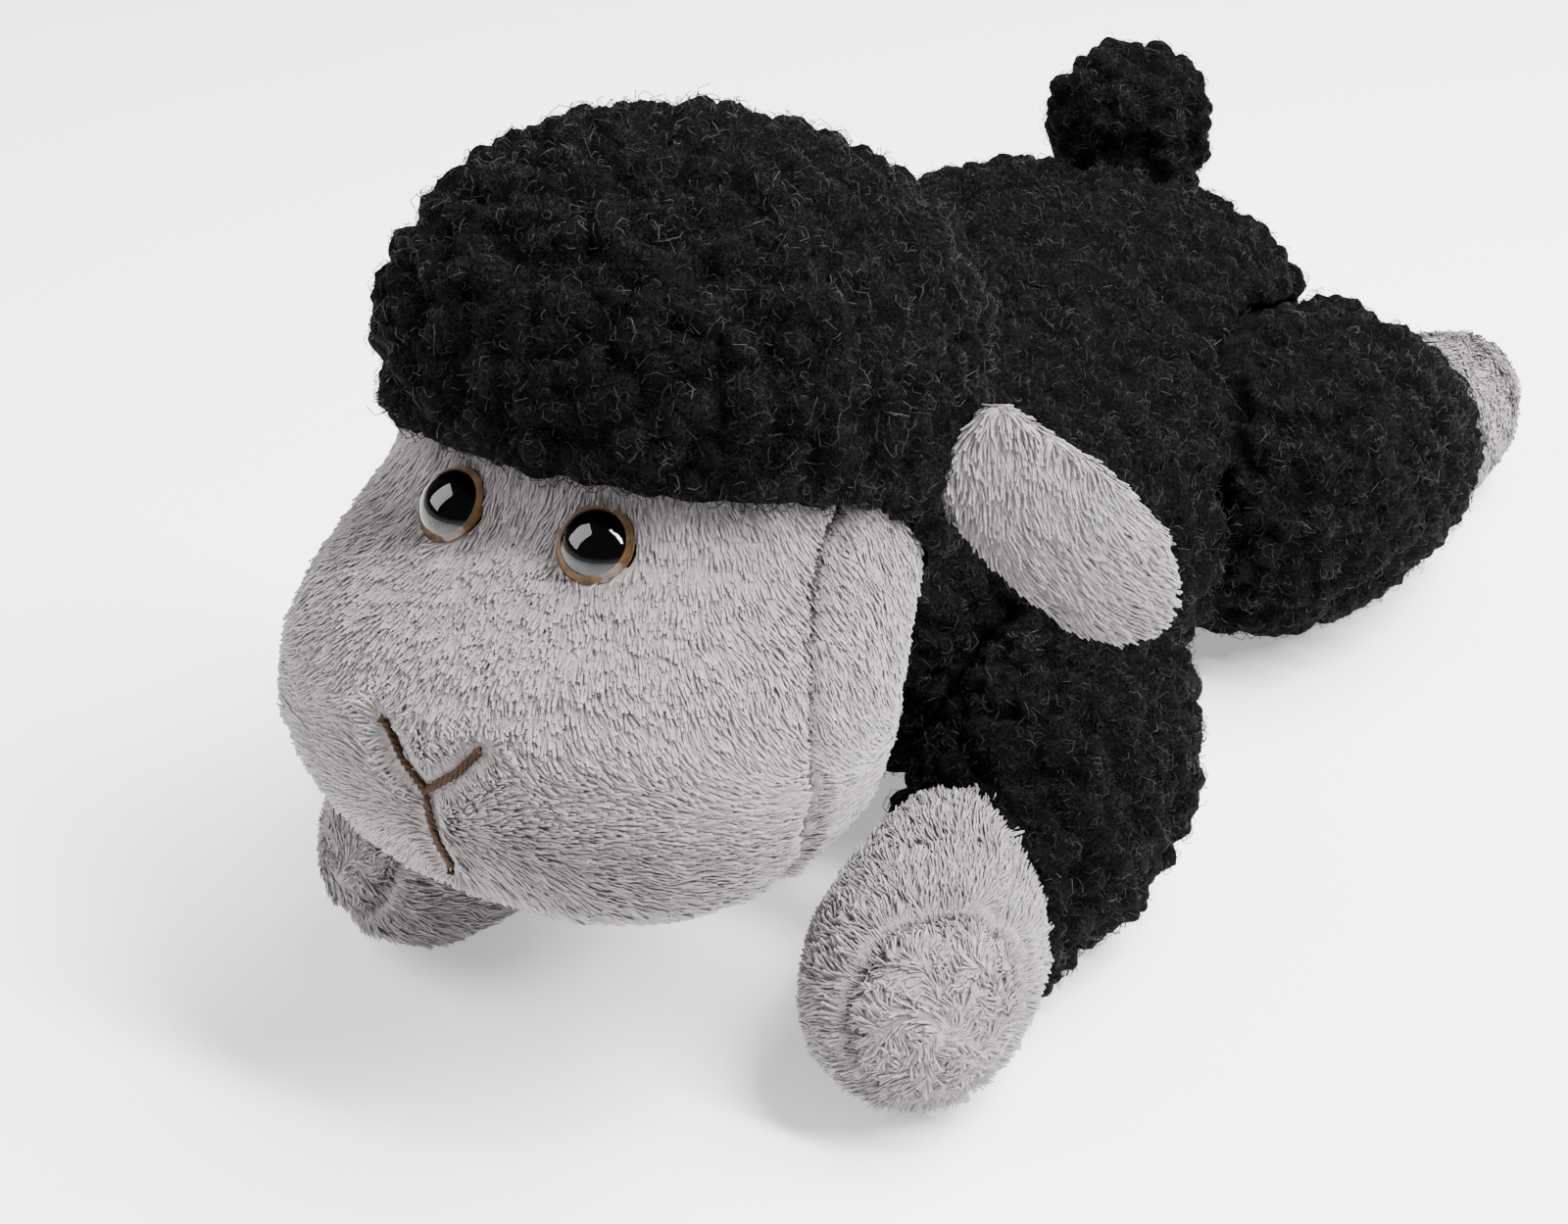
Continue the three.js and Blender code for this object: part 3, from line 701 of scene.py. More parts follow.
@dataclass
class FormSkin:
    """The smooth outer skin of CAD covers and their filling, which is then cut into panels.

    A panel is the part of the skin nearest to one CAD node, so the seams lie where the CAD has them.
    """

    form: str
    nodes: list[str]
    grain: float = 1.6
    smoothing: int = 14
    seam_depth: float = 0.9
    seam_reach: float = 1.6
    wraps_filling: bool = True

    def closed(self) -> Piece:
        """Makes the closed skin: one even surface round all the nodes."""
        start = merged(self.nodes)
        mesh = bpy.data.meshes.new(self.form)
        start.to_mesh(mesh)
        start.free()
        made = new_object(self.form, mesh)
        remesh = made.modifiers.new("even", "REMESH")
        remesh.mode = "VOXEL"
        remesh.voxel_size = self.grain * MM
        smooth = made.modifiers.new("smooth", "SMOOTH")
        smooth.factor = 0.5
        smooth.iterations = self.smoothing
        freeze(made)
        return made

    def panels(self, names: dict[str, str], cut: Callable | None = None) -> dict[str, Piece]:
        """Cuts the skin into panels, with the cloth drawn in at each seam.

        Args:
            names: The panel's name for each CAD node that shows. The skin of the filling goes to the
                nearest panel, or is dropped where the skin doesn't wrap its filling.
            cut: What moves the seams: from the places and the numbers of their nodes to new numbers.

        Returns:
            An object for each panel's name.
        """
        whole = self.closed()
        places = vertices_of(whole.data)
        nodes = list(names) if self.wraps_filling else self.nodes
        nearest = np.argmin([distances(places, tree_of([node])) for node in nodes], axis=0)
        if cut:
            nearest = cut(places, nearest)
        self.draw_in(whole.data, places, nearest, [nodes.index(node) for node in names])
        made = {}
        for node, name in names.items():
            made[name] = self.panel(whole, name, nearest == nodes.index(node))
        bpy.data.objects.remove(whole)
        return made

    def draw_in(self, mesh: Mesh, places: np.ndarray, nearest: np.ndarray, shown: list[int]) -> None:
        """Sinks the skin along the lines where two shown panels meet.

        Args:
            mesh: The whole skin.
            places: Its vertices.
            nearest: The number of the node that each vertex belongs to.
            shown: The numbers of the nodes that show.
        """
        edges = np.array([edge.vertices for edge in mesh.edges])
        first, second = nearest[edges[:, 0]], nearest[edges[:, 1]]
        sewn = (first != second) & np.isin(first, shown) & np.isin(second, shown)
        seam = places[edges[sewn]].mean(axis=1)
        if not len(seam):
            return
        search = points_tree(seam)
        near = nearness(np.array([search.find(place)[2] for place in places]), self.seam_reach)
        set_attribute(mesh, "seam", near)
        reshape(mesh, places - normals_of(mesh) * (self.seam_depth * MM * near)[:, None])

    @staticmethod
    def panel(whole: Piece, name: str, own: np.ndarray) -> Piece:
        """Copies one panel out of the skin.

        Args:
            whole: The whole skin.
            name: The panel's name.
            own: Whether each vertex belongs to the panel.

        Returns:
            The panel, with every face that has at least two vertices of its own.
        """
        mesh = bmesh.new()
        mesh.from_mesh(whole.data)
        mesh.verts.ensure_lookup_table()
        away = [face for face in mesh.faces if sum(own[vert.index] for vert in face.verts) < 2]
        bmesh.ops.delete(mesh, geom=away, context="FACES")
        mesh.verts.ensure_lookup_table()
        loose = [vert for vert in mesh.verts if not vert.link_faces]
        bmesh.ops.delete(mesh, geom=loose, context="VERTS")
        data = bpy.data.meshes.new(name)
        mesh.to_mesh(data)
        mesh.free()
        data.shade_smooth()
        return new_object(name, data)


# Fields of curls and of pile

def named(tree: Tree, name: str, kind: str = "FLOAT") -> Socket:
    """Reads, in a geometry tree, what the mesh stores under a name."""
    return add_node(tree, "GeometryNodeInputNamedAttribute", {"Name": name}, data_type=kind).outputs[0]


def store(tree: Tree, geometry: Socket, name: str, value: Socket, domain: str = "POINT") -> Socket:
    """Stores a number under a name on each point or instance."""
    return add_node(tree, "GeometryNodeStoreNamedAttribute", {
        "Geometry": geometry, "Name": name, "Value": value,
    }, data_type="FLOAT", domain=domain).outputs[0]


def random_value(tree: Tree, low: float, high: float, seed: int) -> Socket:
    """Draws a number for each point or instance."""
    inputs = {2: low, 3: high, "Seed": seed}
    return add_node(tree, "FunctionNodeRandomValue", inputs, data_type="FLOAT").outputs[1]


def scaled(tree: Tree, vector: Socket, factor: float | Socket) -> Socket:
    """Makes a vector longer or shorter."""
    inputs = {0: vector, "Scale": factor}
    return add_node(tree, "ShaderNodeVectorMath", inputs, operation="SCALE").outputs[0]


def pushed_out(tree: Tree, geometry: Socket, height: Socket) -> Socket:
    """Moves a surface outwards by a height."""
    offset = scaled(tree, add_node(tree, "GeometryNodeInputNormal").outputs[0], height)
    return add_node(tree, "GeometryNodeSetPosition", {"Geometry": geometry, "Offset": offset}).outputs[0]


def tube(tree: Tree, path: Socket, profile: Socket, caps: bool) -> Socket:
    """Sweeps a profile along a path, and shades the tube smooth."""
    solid = add_node(tree, "GeometryNodeCurveToMesh", {
        "Curve": path, "Profile Curve": profile, "Fill Caps": caps,
    }).outputs[0]
    return add_node(tree, "GeometryNodeSetShadeSmooth", {"Geometry": solid}).outputs[0]


def length_input(value: float) -> tuple[str, float]:
    """An input in metres, from millimetres."""
    return "NodeSocketFloat", value * MM


@dataclass
class FieldTree:
    """A Geometry Nodes tree that grows strands on a ground, and the way to run it on a piece."""

    name: str
    per_square_centimetre: float
    sides: int = 3

    def begin(self, inputs: dict[str, tuple[str, object]]) -> tuple[Tree, Sockets]:
        """Makes the tree with its named inputs.

        Args:
            inputs: The socket type and the first value of each input of its own.

        Returns:
            The tree and the outputs of its input node.
        """
        tree = bpy.data.node_groups.new(self.name, "GeometryNodeTree")
        shared = {
            "Geometry": ("NodeSocketGeometry", None),
            "Density": ("NodeSocketFloat", self.per_square_centimetre * CM2_PER_M2),
            "Seed": ("NodeSocketInt", 0),
            "Strand": ("NodeSocketMaterial", None),
            "Ground": ("NodeSocketMaterial", None),
        }
        for name, (kind, value) in {**shared, **inputs}.items():
            socket = tree.interface.new_socket(name, in_out="INPUT", socket_type=kind)
            if value is not None:
                socket.default_value = value
        tree.interface.new_socket("Geometry", in_out="OUTPUT", socket_type="NodeSocketGeometry")
        return tree, add_node(tree, "NodeGroupInput").outputs

    @staticmethod
    def scatter_points(tree: Tree, sizes: Sockets, ground: Socket, cover: Socket) -> Sockets:
        """Scatters points over the ground, as densely as the cover says."""
        density = maths(tree, "MULTIPLY", cover, sizes["Density"])
        return add_node(tree, "GeometryNodeDistributePointsOnFaces", {
            "Mesh": ground, "Density": density, "Seed": sizes["Seed"],
        }).outputs

    @staticmethod
    def end(tree: Tree, sizes: Sockets, ground: Socket, strands: Socket, seed: int) -> Tree:
        """Gives each strand a tone, makes all strands real and joins them to the ground.

        Args:
            tree: The tree.
            sizes: The tree's inputs.
            ground: The ground.
            strands: The strands, as instances.
            seed: The random seed of the tones.

        Returns:
            The tree.
        """
        toned = store(tree, strands, "tone", random_value(tree, 0.0, 1.0, seed), "INSTANCE")
        real = add_node(tree, "GeometryNodeRealizeInstances", {"Geometry": toned}).outputs[0]
        both = add_node(tree, "GeometryNodeJoinGeometry")
        for geometry, material in ((ground, "Ground"), (real, "Strand")):
            dyed = add_node(tree, "GeometryNodeSetMaterial", {
                "Geometry": geometry, "Material": sizes[material],
            })
            tree.links.new(dyed.outputs[0], both.inputs[0])
        add_node(tree, "NodeGroupOutput", {0: both.outputs[0]})
        return tree

    @staticmethod
    def run(tree: Tree, piece: Piece, values: dict[str, object]) -> None:
        """Runs the tree on a piece and keeps the result as its plain mesh.

        Args:
            tree: The tree.
            piece: The piece, which becomes what the tree makes of it.
            values: The value of each named input.
        """
        modifier = piece.modifiers.new(tree.name, "NODES")
        modifier.node_group = tree
        sockets = {item.name: item.identifier for item in tree.interface.items_tree if item.in_out == "INPUT"}
        for name, value in values.items():
            modifier[sockets[name]] = value
        freeze(piece)


@dataclass
class CurlField(FieldTree):
    """Curly wool: a lumpy ground with small loops of yarn all over it.

    Each row of loops is one shape of curl: its turns, and its radius and height in curl radii.
    """

    name: str = "curl_field"
    per_square_centimetre: float = 26.0
    lump_size: float = 5.4
    lump_height: float = 3.2
    lump_rise: tuple[float, float] = (0.72, -0.35)
    lump_band: tuple[float, float] = (0.0, 0.5)
    lump_warp: float = 3.0
    frizz_size: float = 1.9
    frizz_height: float = 1.1
    frizz_band: tuple[float, float] = (0.25, 0.75)
    curl_radius: float = 0.95
    curl_steps: int = 6
    curl_scale: tuple[float, float] = (0.7, 1.35)
    yarn_radius: float = 0.07
    loops: tuple[tuple[float, float, float], ...] = (
        (0.8, 0.75, 0.5), (0.7, 1.1, 0.5), (1.1, 0.6, 0.8), (0.6, 1.5, 0.6),
    )

    def build(self) -> Tree:
        """Builds the tree.

        Returns:
            The tree.
        """
        tree, sizes = self.begin({
            "Lump Size": length_input(self.lump_size),
            "Lump Height": length_input(self.lump_height),
            "Curl Radius": length_input(self.curl_radius),
            "Yarn Radius": length_input(self.yarn_radius),
        })
        ground = self.lumpy(tree, sizes)
        points = self.scatter_points(tree, sizes, ground, named(tree, "cover"))
        curls = add_node(tree, "GeometryNodeGeometryToInstance")
        for turns, width, rise in self.loops:
            tree.links.new(self.curl(tree, sizes, turns, width, rise), curls.inputs[0])
        turned = add_node(tree, "FunctionNodeRandomValue", {
            "Min": (-math.pi,) * 3, "Max": (math.pi,) * 3, "Seed": 1,
        }, data_type="FLOAT_VECTOR")
        spread = add_node(tree, "GeometryNodeInstanceOnPoints", {
            "Points": points["Points"], "Instance": curls.outputs[0], "Pick Instance": True,
            "Rotation": turned.outputs[0], "Scale": random_value(tree, *self.curl_scale, seed=2),
        })
        return self.end(tree, sizes, ground, spread.outputs[0], seed=3)

    def lumpy(self, tree: Tree, sizes: Sockets) -> Socket:
        """Raises round lumps and fine frizz on the ground, as high as the mesh's relief says.

        Args:
            tree: The tree that gets the nodes.
            sizes: The tree's inputs.

        Returns:
            The ground.
        """
        place = add_node(tree, "GeometryNodeInputPosition").outputs[0]
        fineness = maths(tree, "DIVIDE", 1.0, sizes["Lump Size"])
        aside = scaled(tree, noise(tree, place, fineness)["Color"], self.lump_warp * MM)
        warped = add_node(tree, "ShaderNodeVectorMath", {0: place, 1: aside})
        lumps = add_node(tree, "ShaderNodeTexVoronoi", {"Vector": warped.outputs[0], "Scale": fineness})
        squared = maths(tree, "POWER", lumps.outputs["Distance"], 2.0)
        dome = remap(tree, squared, self.lump_band, self.lump_rise)
        half = self.frizz_height / 2 / self.lump_height
        rough = remap(tree, noise(tree, place, per(self.frizz_size))[0], self.frizz_band, (-half, half))
        tall = maths(tree, "MULTIPLY", named(tree, "relief"), sizes["Lump Height"])
        height = maths(tree, "MULTIPLY", maths(tree, "ADD", dome, rough), tall)
        fine = add_node(tree, "GeometryNodeSubdivisionSurface", {"Mesh": sizes["Geometry"], "Level": 1})
        return pushed_out(tree, fine.outputs[0], height)

    def curl(self, tree: Tree, sizes: Sockets, turns: float, width: float, rise: float) -> Socket:
        """Adds one shape of curl.

        Args:
            tree: The tree that gets it.
            sizes: The tree's inputs.
            turns: How often it goes round.
            width: Its radius, in curl radii.
            rise: Its height, in curl radii.

        Returns:
            Its mesh.
        """
        radius = maths(tree, "MULTIPLY", sizes["Curl Radius"], width)
        loop = add_node(tree, "GeometryNodeCurveSpiral", {
            "Resolution": self.curl_steps, "Rotations": turns, "Start Radius": radius, "End Radius": radius,
            "Height": maths(tree, "MULTIPLY", sizes["Curl Radius"], rise),
        })
        profile = add_node(tree, "GeometryNodeCurvePrimitiveCircle", {
            "Resolution": self.sides, "Radius": sizes["Yarn Radius"],
        })
        return tube(tree, loop.outputs[0], profile.outputs[0], True)


@dataclass
class PileField(FieldTree):
    """Short plush: pointed tufts that lean with the flow of the pile, fewer and shorter at the seams."""

    name: str = "pile_field"
    per_square_centimetre: float = 262.0
    tuft_length: float = 2.3
    tuft_width: float = 0.42
    tip_share: float = 0.25
    flatness: float = 0.5
    rise_share: float = 0.14
    swirl_size: float = 9.0
    swirl: float = 1.3
    scatter: float = 0.2
    tilt: float = 0.08
    clump_size: float = 2.0
    clump_turn: float = 1.0
    clump_tilt: float = 0.5
    billow_size: float = 2.8
    billow_height: float = 0.7
    bare_seam: float = 0.8
    seam_trim: float = 0.45
    tuft_scale: tuple[float, float] = (0.7, 1.3)

    def build(self) -> Tree:
        """Builds the tree.

        Returns:
            The tree.
        """
        tree, sizes = self.begin({
            "Tuft Length": length_input(self.tuft_length),
            "Tuft Width": length_input(self.tuft_width),
            "Rise Share": ("NodeSocketFloat", self.rise_share),
            "Swirl Size": length_input(self.swirl_size),
            "Swirl": ("NodeSocketFloat", self.swirl),
            "Scatter": ("NodeSocketFloat", self.scatter),
            "Billow Size": length_input(self.billow_size),
            "Billow Height": length_input(self.billow_height),
        })
        place = add_node(tree, "GeometryNodeInputPosition").outputs[0]
        wave = noise(tree, place, maths(tree, "DIVIDE", 1.0, sizes["Billow Size"]), detail=1.0)[0]
        swell = maths(tree, "SUBTRACT", wave, 0.5)
        cloth = pushed_out(tree, sizes["Geometry"], maths(tree, "MULTIPLY", swell, sizes["Billow Height"]))
        seam = named(tree, "seam")
        closed = remap(tree, seam, (self.bare_seam, 1.0), (1.0, 0.0))
        cover = maths(tree, "MULTIPLY", named(tree, "cover"), closed)
        points = self.scatter_points(tree, sizes, cloth, cover)
        combed = add_node(tree, "FunctionNodeAlignRotationToVector", {
            "Rotation": points["Rotation"], "Vector": named(tree, "flow", "FLOAT_VECTOR"),
        }, axis="X", pivot_axis="Z")
        leaning = add_node(tree, "FunctionNodeRotateRotation", {
            0: combed.outputs[0], 1: self.twist(tree, sizes, place),
        }, rotation_space="LOCAL")
        trimmed = maths(tree, "MULTIPLY_ADD", seam, -self.seam_trim, 1.0)
        spread = add_node(tree, "GeometryNodeInstanceOnPoints", {
            "Points": points["Points"], "Instance": self.tuft(tree, sizes), "Rotation": leaning.outputs[0],
            "Scale": maths(tree, "MULTIPLY", random_value(tree, *self.tuft_scale, seed=8), trimmed),
        })
        return self.end(tree, sizes, cloth, spread.outputs[0], seed=9)

    def twist(self, tree: Tree, sizes: Sockets, place: Socket) -> Socket:
        """Turns a tuft out of the flow: by wide swirls, by small clumps, and a little by chance.

        Args:
            tree: The tree that gets the nodes.
            sizes: The tree's inputs.
            place: The tuft's place.

        Returns:
            The rotation.
        """
        eddy = noise(tree, place, maths(tree, "DIVIDE", 1.0, sizes["Swirl Size"]))[0]
        turned = maths(tree, "MULTIPLY", maths(tree, "SUBTRACT", eddy, 0.5), sizes["Swirl"])
        angle = maths(tree, "MULTIPLY_ADD", random_value(tree, -1.0, 1.0, seed=5), sizes["Scatter"], turned)
        clumps = noise(tree, place, per(self.clump_size), detail=1.0)["Color"]
        parts = add_node(tree, "FunctionNodeSeparateColor", {0: clumps}).outputs
        heading = maths(tree, "ADD", angle, centred(tree, parts[0], self.clump_turn))
        chance = random_value(tree, -self.tilt, self.tilt, seed=6)
        raised = maths(tree, "ADD", chance, centred(tree, parts[1], self.clump_tilt))
        euler = add_node(tree, "ShaderNodeCombineXYZ", {1: raised, 2: heading})
        return add_node(tree, "FunctionNodeEulerToRotation", {0: euler.outputs[0]}).outputs[0]

    def tuft(self, tree: Tree, sizes: Sockets) -> Socket:
        """Adds the nodes of one tuft, which rises, leans over and ends in a point.

        Args:
            tree: The tree that gets them.
            sizes: The tree's inputs.

        Returns:
            The tuft's mesh.
        """
        rise = maths(tree, "MULTIPLY", sizes["Tuft Length"], sizes["Rise Share"])
        end = add_node(tree, "ShaderNodeCombineXYZ", {0: sizes["Tuft Length"], 2: rise}).outputs[0]
        line = add_node(tree, "GeometryNodeCurvePrimitiveLine", {"Start": (0, 0, 0), "End": end}).outputs[0]
        share = add_node(tree, "GeometryNodeSplineParameter").outputs["Factor"]
        taper = remap(tree, share, (0.0, 1.0), (1.0, self.tip_share))
        tapered = add_node(tree, "GeometryNodeSetCurveRadius", {"Curve": line, "Radius": taper}).outputs[0]
        profile = add_node(tree, "GeometryNodeCurvePrimitiveCircle", {
            "Resolution": self.sides, "Radius": maths(tree, "MULTIPLY", sizes["Tuft Width"], 0.5),
        })
        ridged = add_node(tree, "GeometryNodeTransform", {
            "Geometry": profile.outputs[0], "Rotation": (0, 0, -math.pi / 2), "Scale": (self.flatness, 1, 1),
        }).outputs[0]
        return tube(tree, store(tree, tapered, "along", share), store(tree, ridged, "around", share), False)


@dataclass
class Dresser:
    """Covers panels with wool or plush."""

    finishes: Finishes
    curls: CurlField = field(default_factory=CurlField)
    piles: PileField = field(default_factory=PileField)
    hidden_gap: float = 1.8
    hidden_share: float = 0.4
    wool_gap: float = 3.4
    floor_gaps: tuple[float, float] = (0.6, 2.4)
    under_slope: tuple[float, float] = (-0.9, -0.5)
    under_share: float = 0.35
    edge_curls: float = 1.2
    edge_flatness: float = 0.6
    least_relief: float = 0.25

    def __post_init__(self) -> None:
        """Builds the two trees and the search trees of the bodies."""
        self.curl_tree = self.curls.build()
        self.pile_tree = self.piles.build()
        bodies = frame["record"]["behaviour"]["bodies"]
        self.bodies = {name: tree_of(nodes) for name, nodes in bodies.items()}

    def cover(self, panel: Piece, body: str, apart_from: tuple[str, ...] = (),
              gap: float = 0.0) -> np.ndarray:
        """Says where a panel shows: not on the floor, and not where it lies against another body.

        Args:
            panel: The panel.
            body: The body it belongs to.
            apart_from: Other bodies that don't hide it.
            gap: How far from another body it shows fully, if not the usual gap.

        Returns:
            A share for each vertex.
        """
        places = vertices_of(panel.data)
        low, high = self.floor_gaps
        shows = eased(places[:, 2], low * MM, high * MM)
        above = eased(normals_of(panel.data)[:, 2], *self.under_slope)
        shows *= self.under_share + (1 - self.under_share) * above
        full = (gap or self.hidden_gap) * MM
        for name, tree in self.bodies.items():
            if name != body and name not in apart_from:
                shows *= eased(distances(places, tree), full * self.hidden_share, full)
        return shows

    @staticmethod
    def press(piece: Piece) -> None:
        """Presses flat on the floor what would reach below it."""
        places = vertices_of(piece.data)
        places[:, 2] = np.maximum(places[:, 2], 0)
        reshape(piece.data, places)

    def wool(self, panel: Piece, shows: np.ndarray, seed: int, edge: np.ndarray | float = 0.0) -> None:
        """Covers a panel with curls.

        Args:
            panel: The panel.
            shows: Where it shows, a share for each vertex.
            seed: Its own random seed.
            edge: How near each vertex is to an edge, where the lumps lie lower and the curls thicker.
        """
        relief = np.maximum(shows, self.least_relief) * (1 - self.edge_flatness * edge)
        set_attribute(panel.data, "cover", shows * (1 + self.edge_curls * edge))
        set_attribute(panel.data, "relief", relief)
        FieldTree.run(self.curl_tree, panel, {
            "Seed": seed, "Strand": self.finishes.yarn, "Ground": self.finishes.wool_ground,
        })
        self.press(panel)

    def plush(self, panel: Piece, shows: np.ndarray, flow: np.ndarray, seed: int, **sizes) -> None:
        """Covers a panel with pile.

        Args:
            panel: The panel.
            shows: Where it shows, a share for each vertex.
            flow: The way that the pile leans, a vector for each vertex.
            seed: Its own random seed.
            **sizes: Other inputs of the pile, by name with underscores.
        """
        set_attribute(panel.data, "cover", shows)
        set_attribute(panel.data, "flow", flow)
        values = {name.replace("_", " ").title(): value for name, value in sizes.items()}
        FieldTree.run(self.pile_tree, panel, {
            "Seed": seed, "Strand": self.finishes.pile, "Ground": self.finishes.plush_ground, **values,
        })
        self.press(panel)


# Sub-assemblies

@dataclass
class Torso:
    """The stuffed body: a wool back cover sewn to a wool belly panel, and its neck filling."""

    dresser: Dresser
    grain: float = 1.95
    fill: float = 0.8

    def build(self) -> None:
        """Builds and dresses the body's pieces."""
        skin = FormSkin("torso_skin", ["back_cover", "belly_panel", "body_stuffing"], self.grain)
        panels = skin.panels({"back_cover": "back_wool", "belly_panel": "belly_wool"})
        for seed, panel in enumerate(panels.values()):
            shows = self.dresser.cover(panel, "torso", ("neck",), self.dresser.wool_gap)
            self.dresser.wool(panel, shows, seed)
            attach(panel, "torso")
        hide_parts("back_cover", "body_stuffing")
        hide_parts("belly_panel")
        log.info("torso: back_wool, belly_wool")
        neck = FormSkin("neck_fill", ["neck_stuffing"], self.grain).closed()
        neck.data.materials.append(self.dresser.finishes.fill)
        neck.data.shade_smooth()
        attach(neck, "neck")
        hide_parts("neck_stuffing")
        log.info("neck: neck_fill")


@dataclass
class Leg:
    """A stuffed leg: a wool sleeve that ends in a plush paw or foot with a sewn sole."""

    dresser: Dresser
    side: Side
    limb: str
    end: str
    joint: str
    seed: int
    grain: float = 1.75
    smoothing: int = 10
    seam_depth: float = 1.6
    seam_reach: float = 1.5
    bend_start: float = 2.0
    bend_length: float = 22.0
    tuft_width: float = 0.36
    rise_share: float = 0.2
    swirl_size: float = 5.0
    cover_tuft: float = 2.4
    cover_swirl: float = 3.0
    sole_tuft: float = 2.1
    sole_swirl: float = 11.0
    sole_lead: float = 0.6
    whorl: float = 1.2
    fill: float = 0.75

    def build(self) -> None:
        """Builds and dresses the leg's three pieces."""
        body = f"{self.limb}_{self.side.value}"
        paw = f"{self.end}_{self.side.value}"
        nodes = [f"{body}_sleeve", f"{paw}_cover", f"{paw}_sole"]
        names = [f"{body}_wool", f"{paw}_plush", f"{paw}_sole_plush"]
        filling = f"{body}_stuffing"
        skin = FormSkin(f"{body}_skin", [*nodes, filling], self.grain, self.smoothing,
                        self.seam_depth, self.seam_reach)
        sleeve, cover, sole = skin.panels(dict(zip(nodes, names))).values()
        shows = self.dresser.cover(sleeve, body, ("head",), self.dresser.wool_gap)
        self.dresser.wool(sleeve, shows, self.seed)
        pivot = Vector(JOINTS[self.joint]["pos_m"])
        heart = middle_of(nodes[1])
        way = heart - pivot
        way.z = 0
        way.normalize()
        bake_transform(sleeve)
        centre = middle_of(nodes[2])
        centre = centre + (centre - heart) * self.sole_lead
        for number, panel in enumerate((cover, sole)):
            flow = vertices_of(panel.data) - np.array(centre)
            length, swirl = self.cover_tuft, self.cover_swirl
            if panel is sole:
                flow += np.cross(normals_of(panel.data), flow) * self.whorl
                length, swirl = self.sole_tuft, self.sole_swirl
            shows = self.dresser.cover(panel, body, ("head",))
            self.dresser.plush(panel, shows, flow, self.seed + number, tuft_length=length * MM,
                               rise_share=self.rise_share, tuft_width=self.tuft_width * MM,
                               swirl=swirl, swirl_size=self.swirl_size * MM)
            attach(panel, body)
        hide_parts(nodes[0], filling)
        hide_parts(nodes[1])
        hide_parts(nodes[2])
        log.info("%s: %s", body, ", ".join(names))


@dataclass
class Tail:
    """The short upright tail, a wool tube."""

    dresser: Dresser
    grain: float = 1.4
    smoothing: int = 8
    fill: float = 0.7
    bend_length: float = 9.0
    seed: int = 41

    def build(self) -> None:
        """Builds and dresses the tail."""
        skin = FormSkin("tail_skin", ["tail_cover", "tail_stuffing"], self.grain, self.smoothing)
        piece = skin.panels({"tail_cover": "tail_wool"})["tail_wool"]
        shows = self.dresser.cover(piece, "tail", gap=self.dresser.wool_gap)
        self.dresser.wool(piece, shows, self.seed)
        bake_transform(piece)
        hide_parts("tail_cover", "tail_stuffing")
        log.info("tail: tail_wool")


@dataclass
class Ear:
    """A flat plush ear of two panels, which leans down and back."""

    dresser: Dresser
    side: Side
    seed: int
    grain: float = 0.9
    smoothing: int = 10
    seam_depth: float = 0.5
    seam_reach: float = 1.0
    tuft_length: float = 2.3
    swirl: float = 1.5
    swirl_size: float = 11.0
    turn_down: tuple[float, float] = (4.0, 26.0)
    fill: float = 0.4
    bend_length: float = 7.0

    def build(self) -> None:
        """Builds and dresses the ear's two panels."""
        body = f"ear_{self.side.value}"
        nodes = [f"{body}_inner_panel", f"{body}_outer_panel"]
        skin = FormSkin(f"{body}_skin", nodes, self.grain, self.smoothing, self.seam_depth, self.seam_reach)
        panels = skin.panels({node: node.replace("panel", "plush") for node in nodes})
        joint = JOINTS[f"{body}_flap"]
        root = Vector(joint["pos_m"])
        along = middle_of(nodes[0]) - root
        along.normalize()
        down = Vector(joint["axis"]) * -self.side.sign
        for number, (node, panel) in enumerate(zip(nodes, panels.values())):
            places = vertices_of(panel.data)
            out = (places - np.array(root)) @ np.array(along) / MM
            drop = 1 - eased(out, *self.turn_down)
            flow = np.tile(np.array(along), (len(places), 1)) + np.outer(drop, np.array(down))
            self.dresser.plush(panel, self.dresser.cover(panel, body, ("head",)), flow, self.seed + number,
                               tuft_length=self.tuft_length * MM, swirl=self.swirl,
                               swirl_size=self.swirl_size * MM)
            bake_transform(panel)
            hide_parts(node)
        log.info("%s: %s", body, ", ".join(panels))


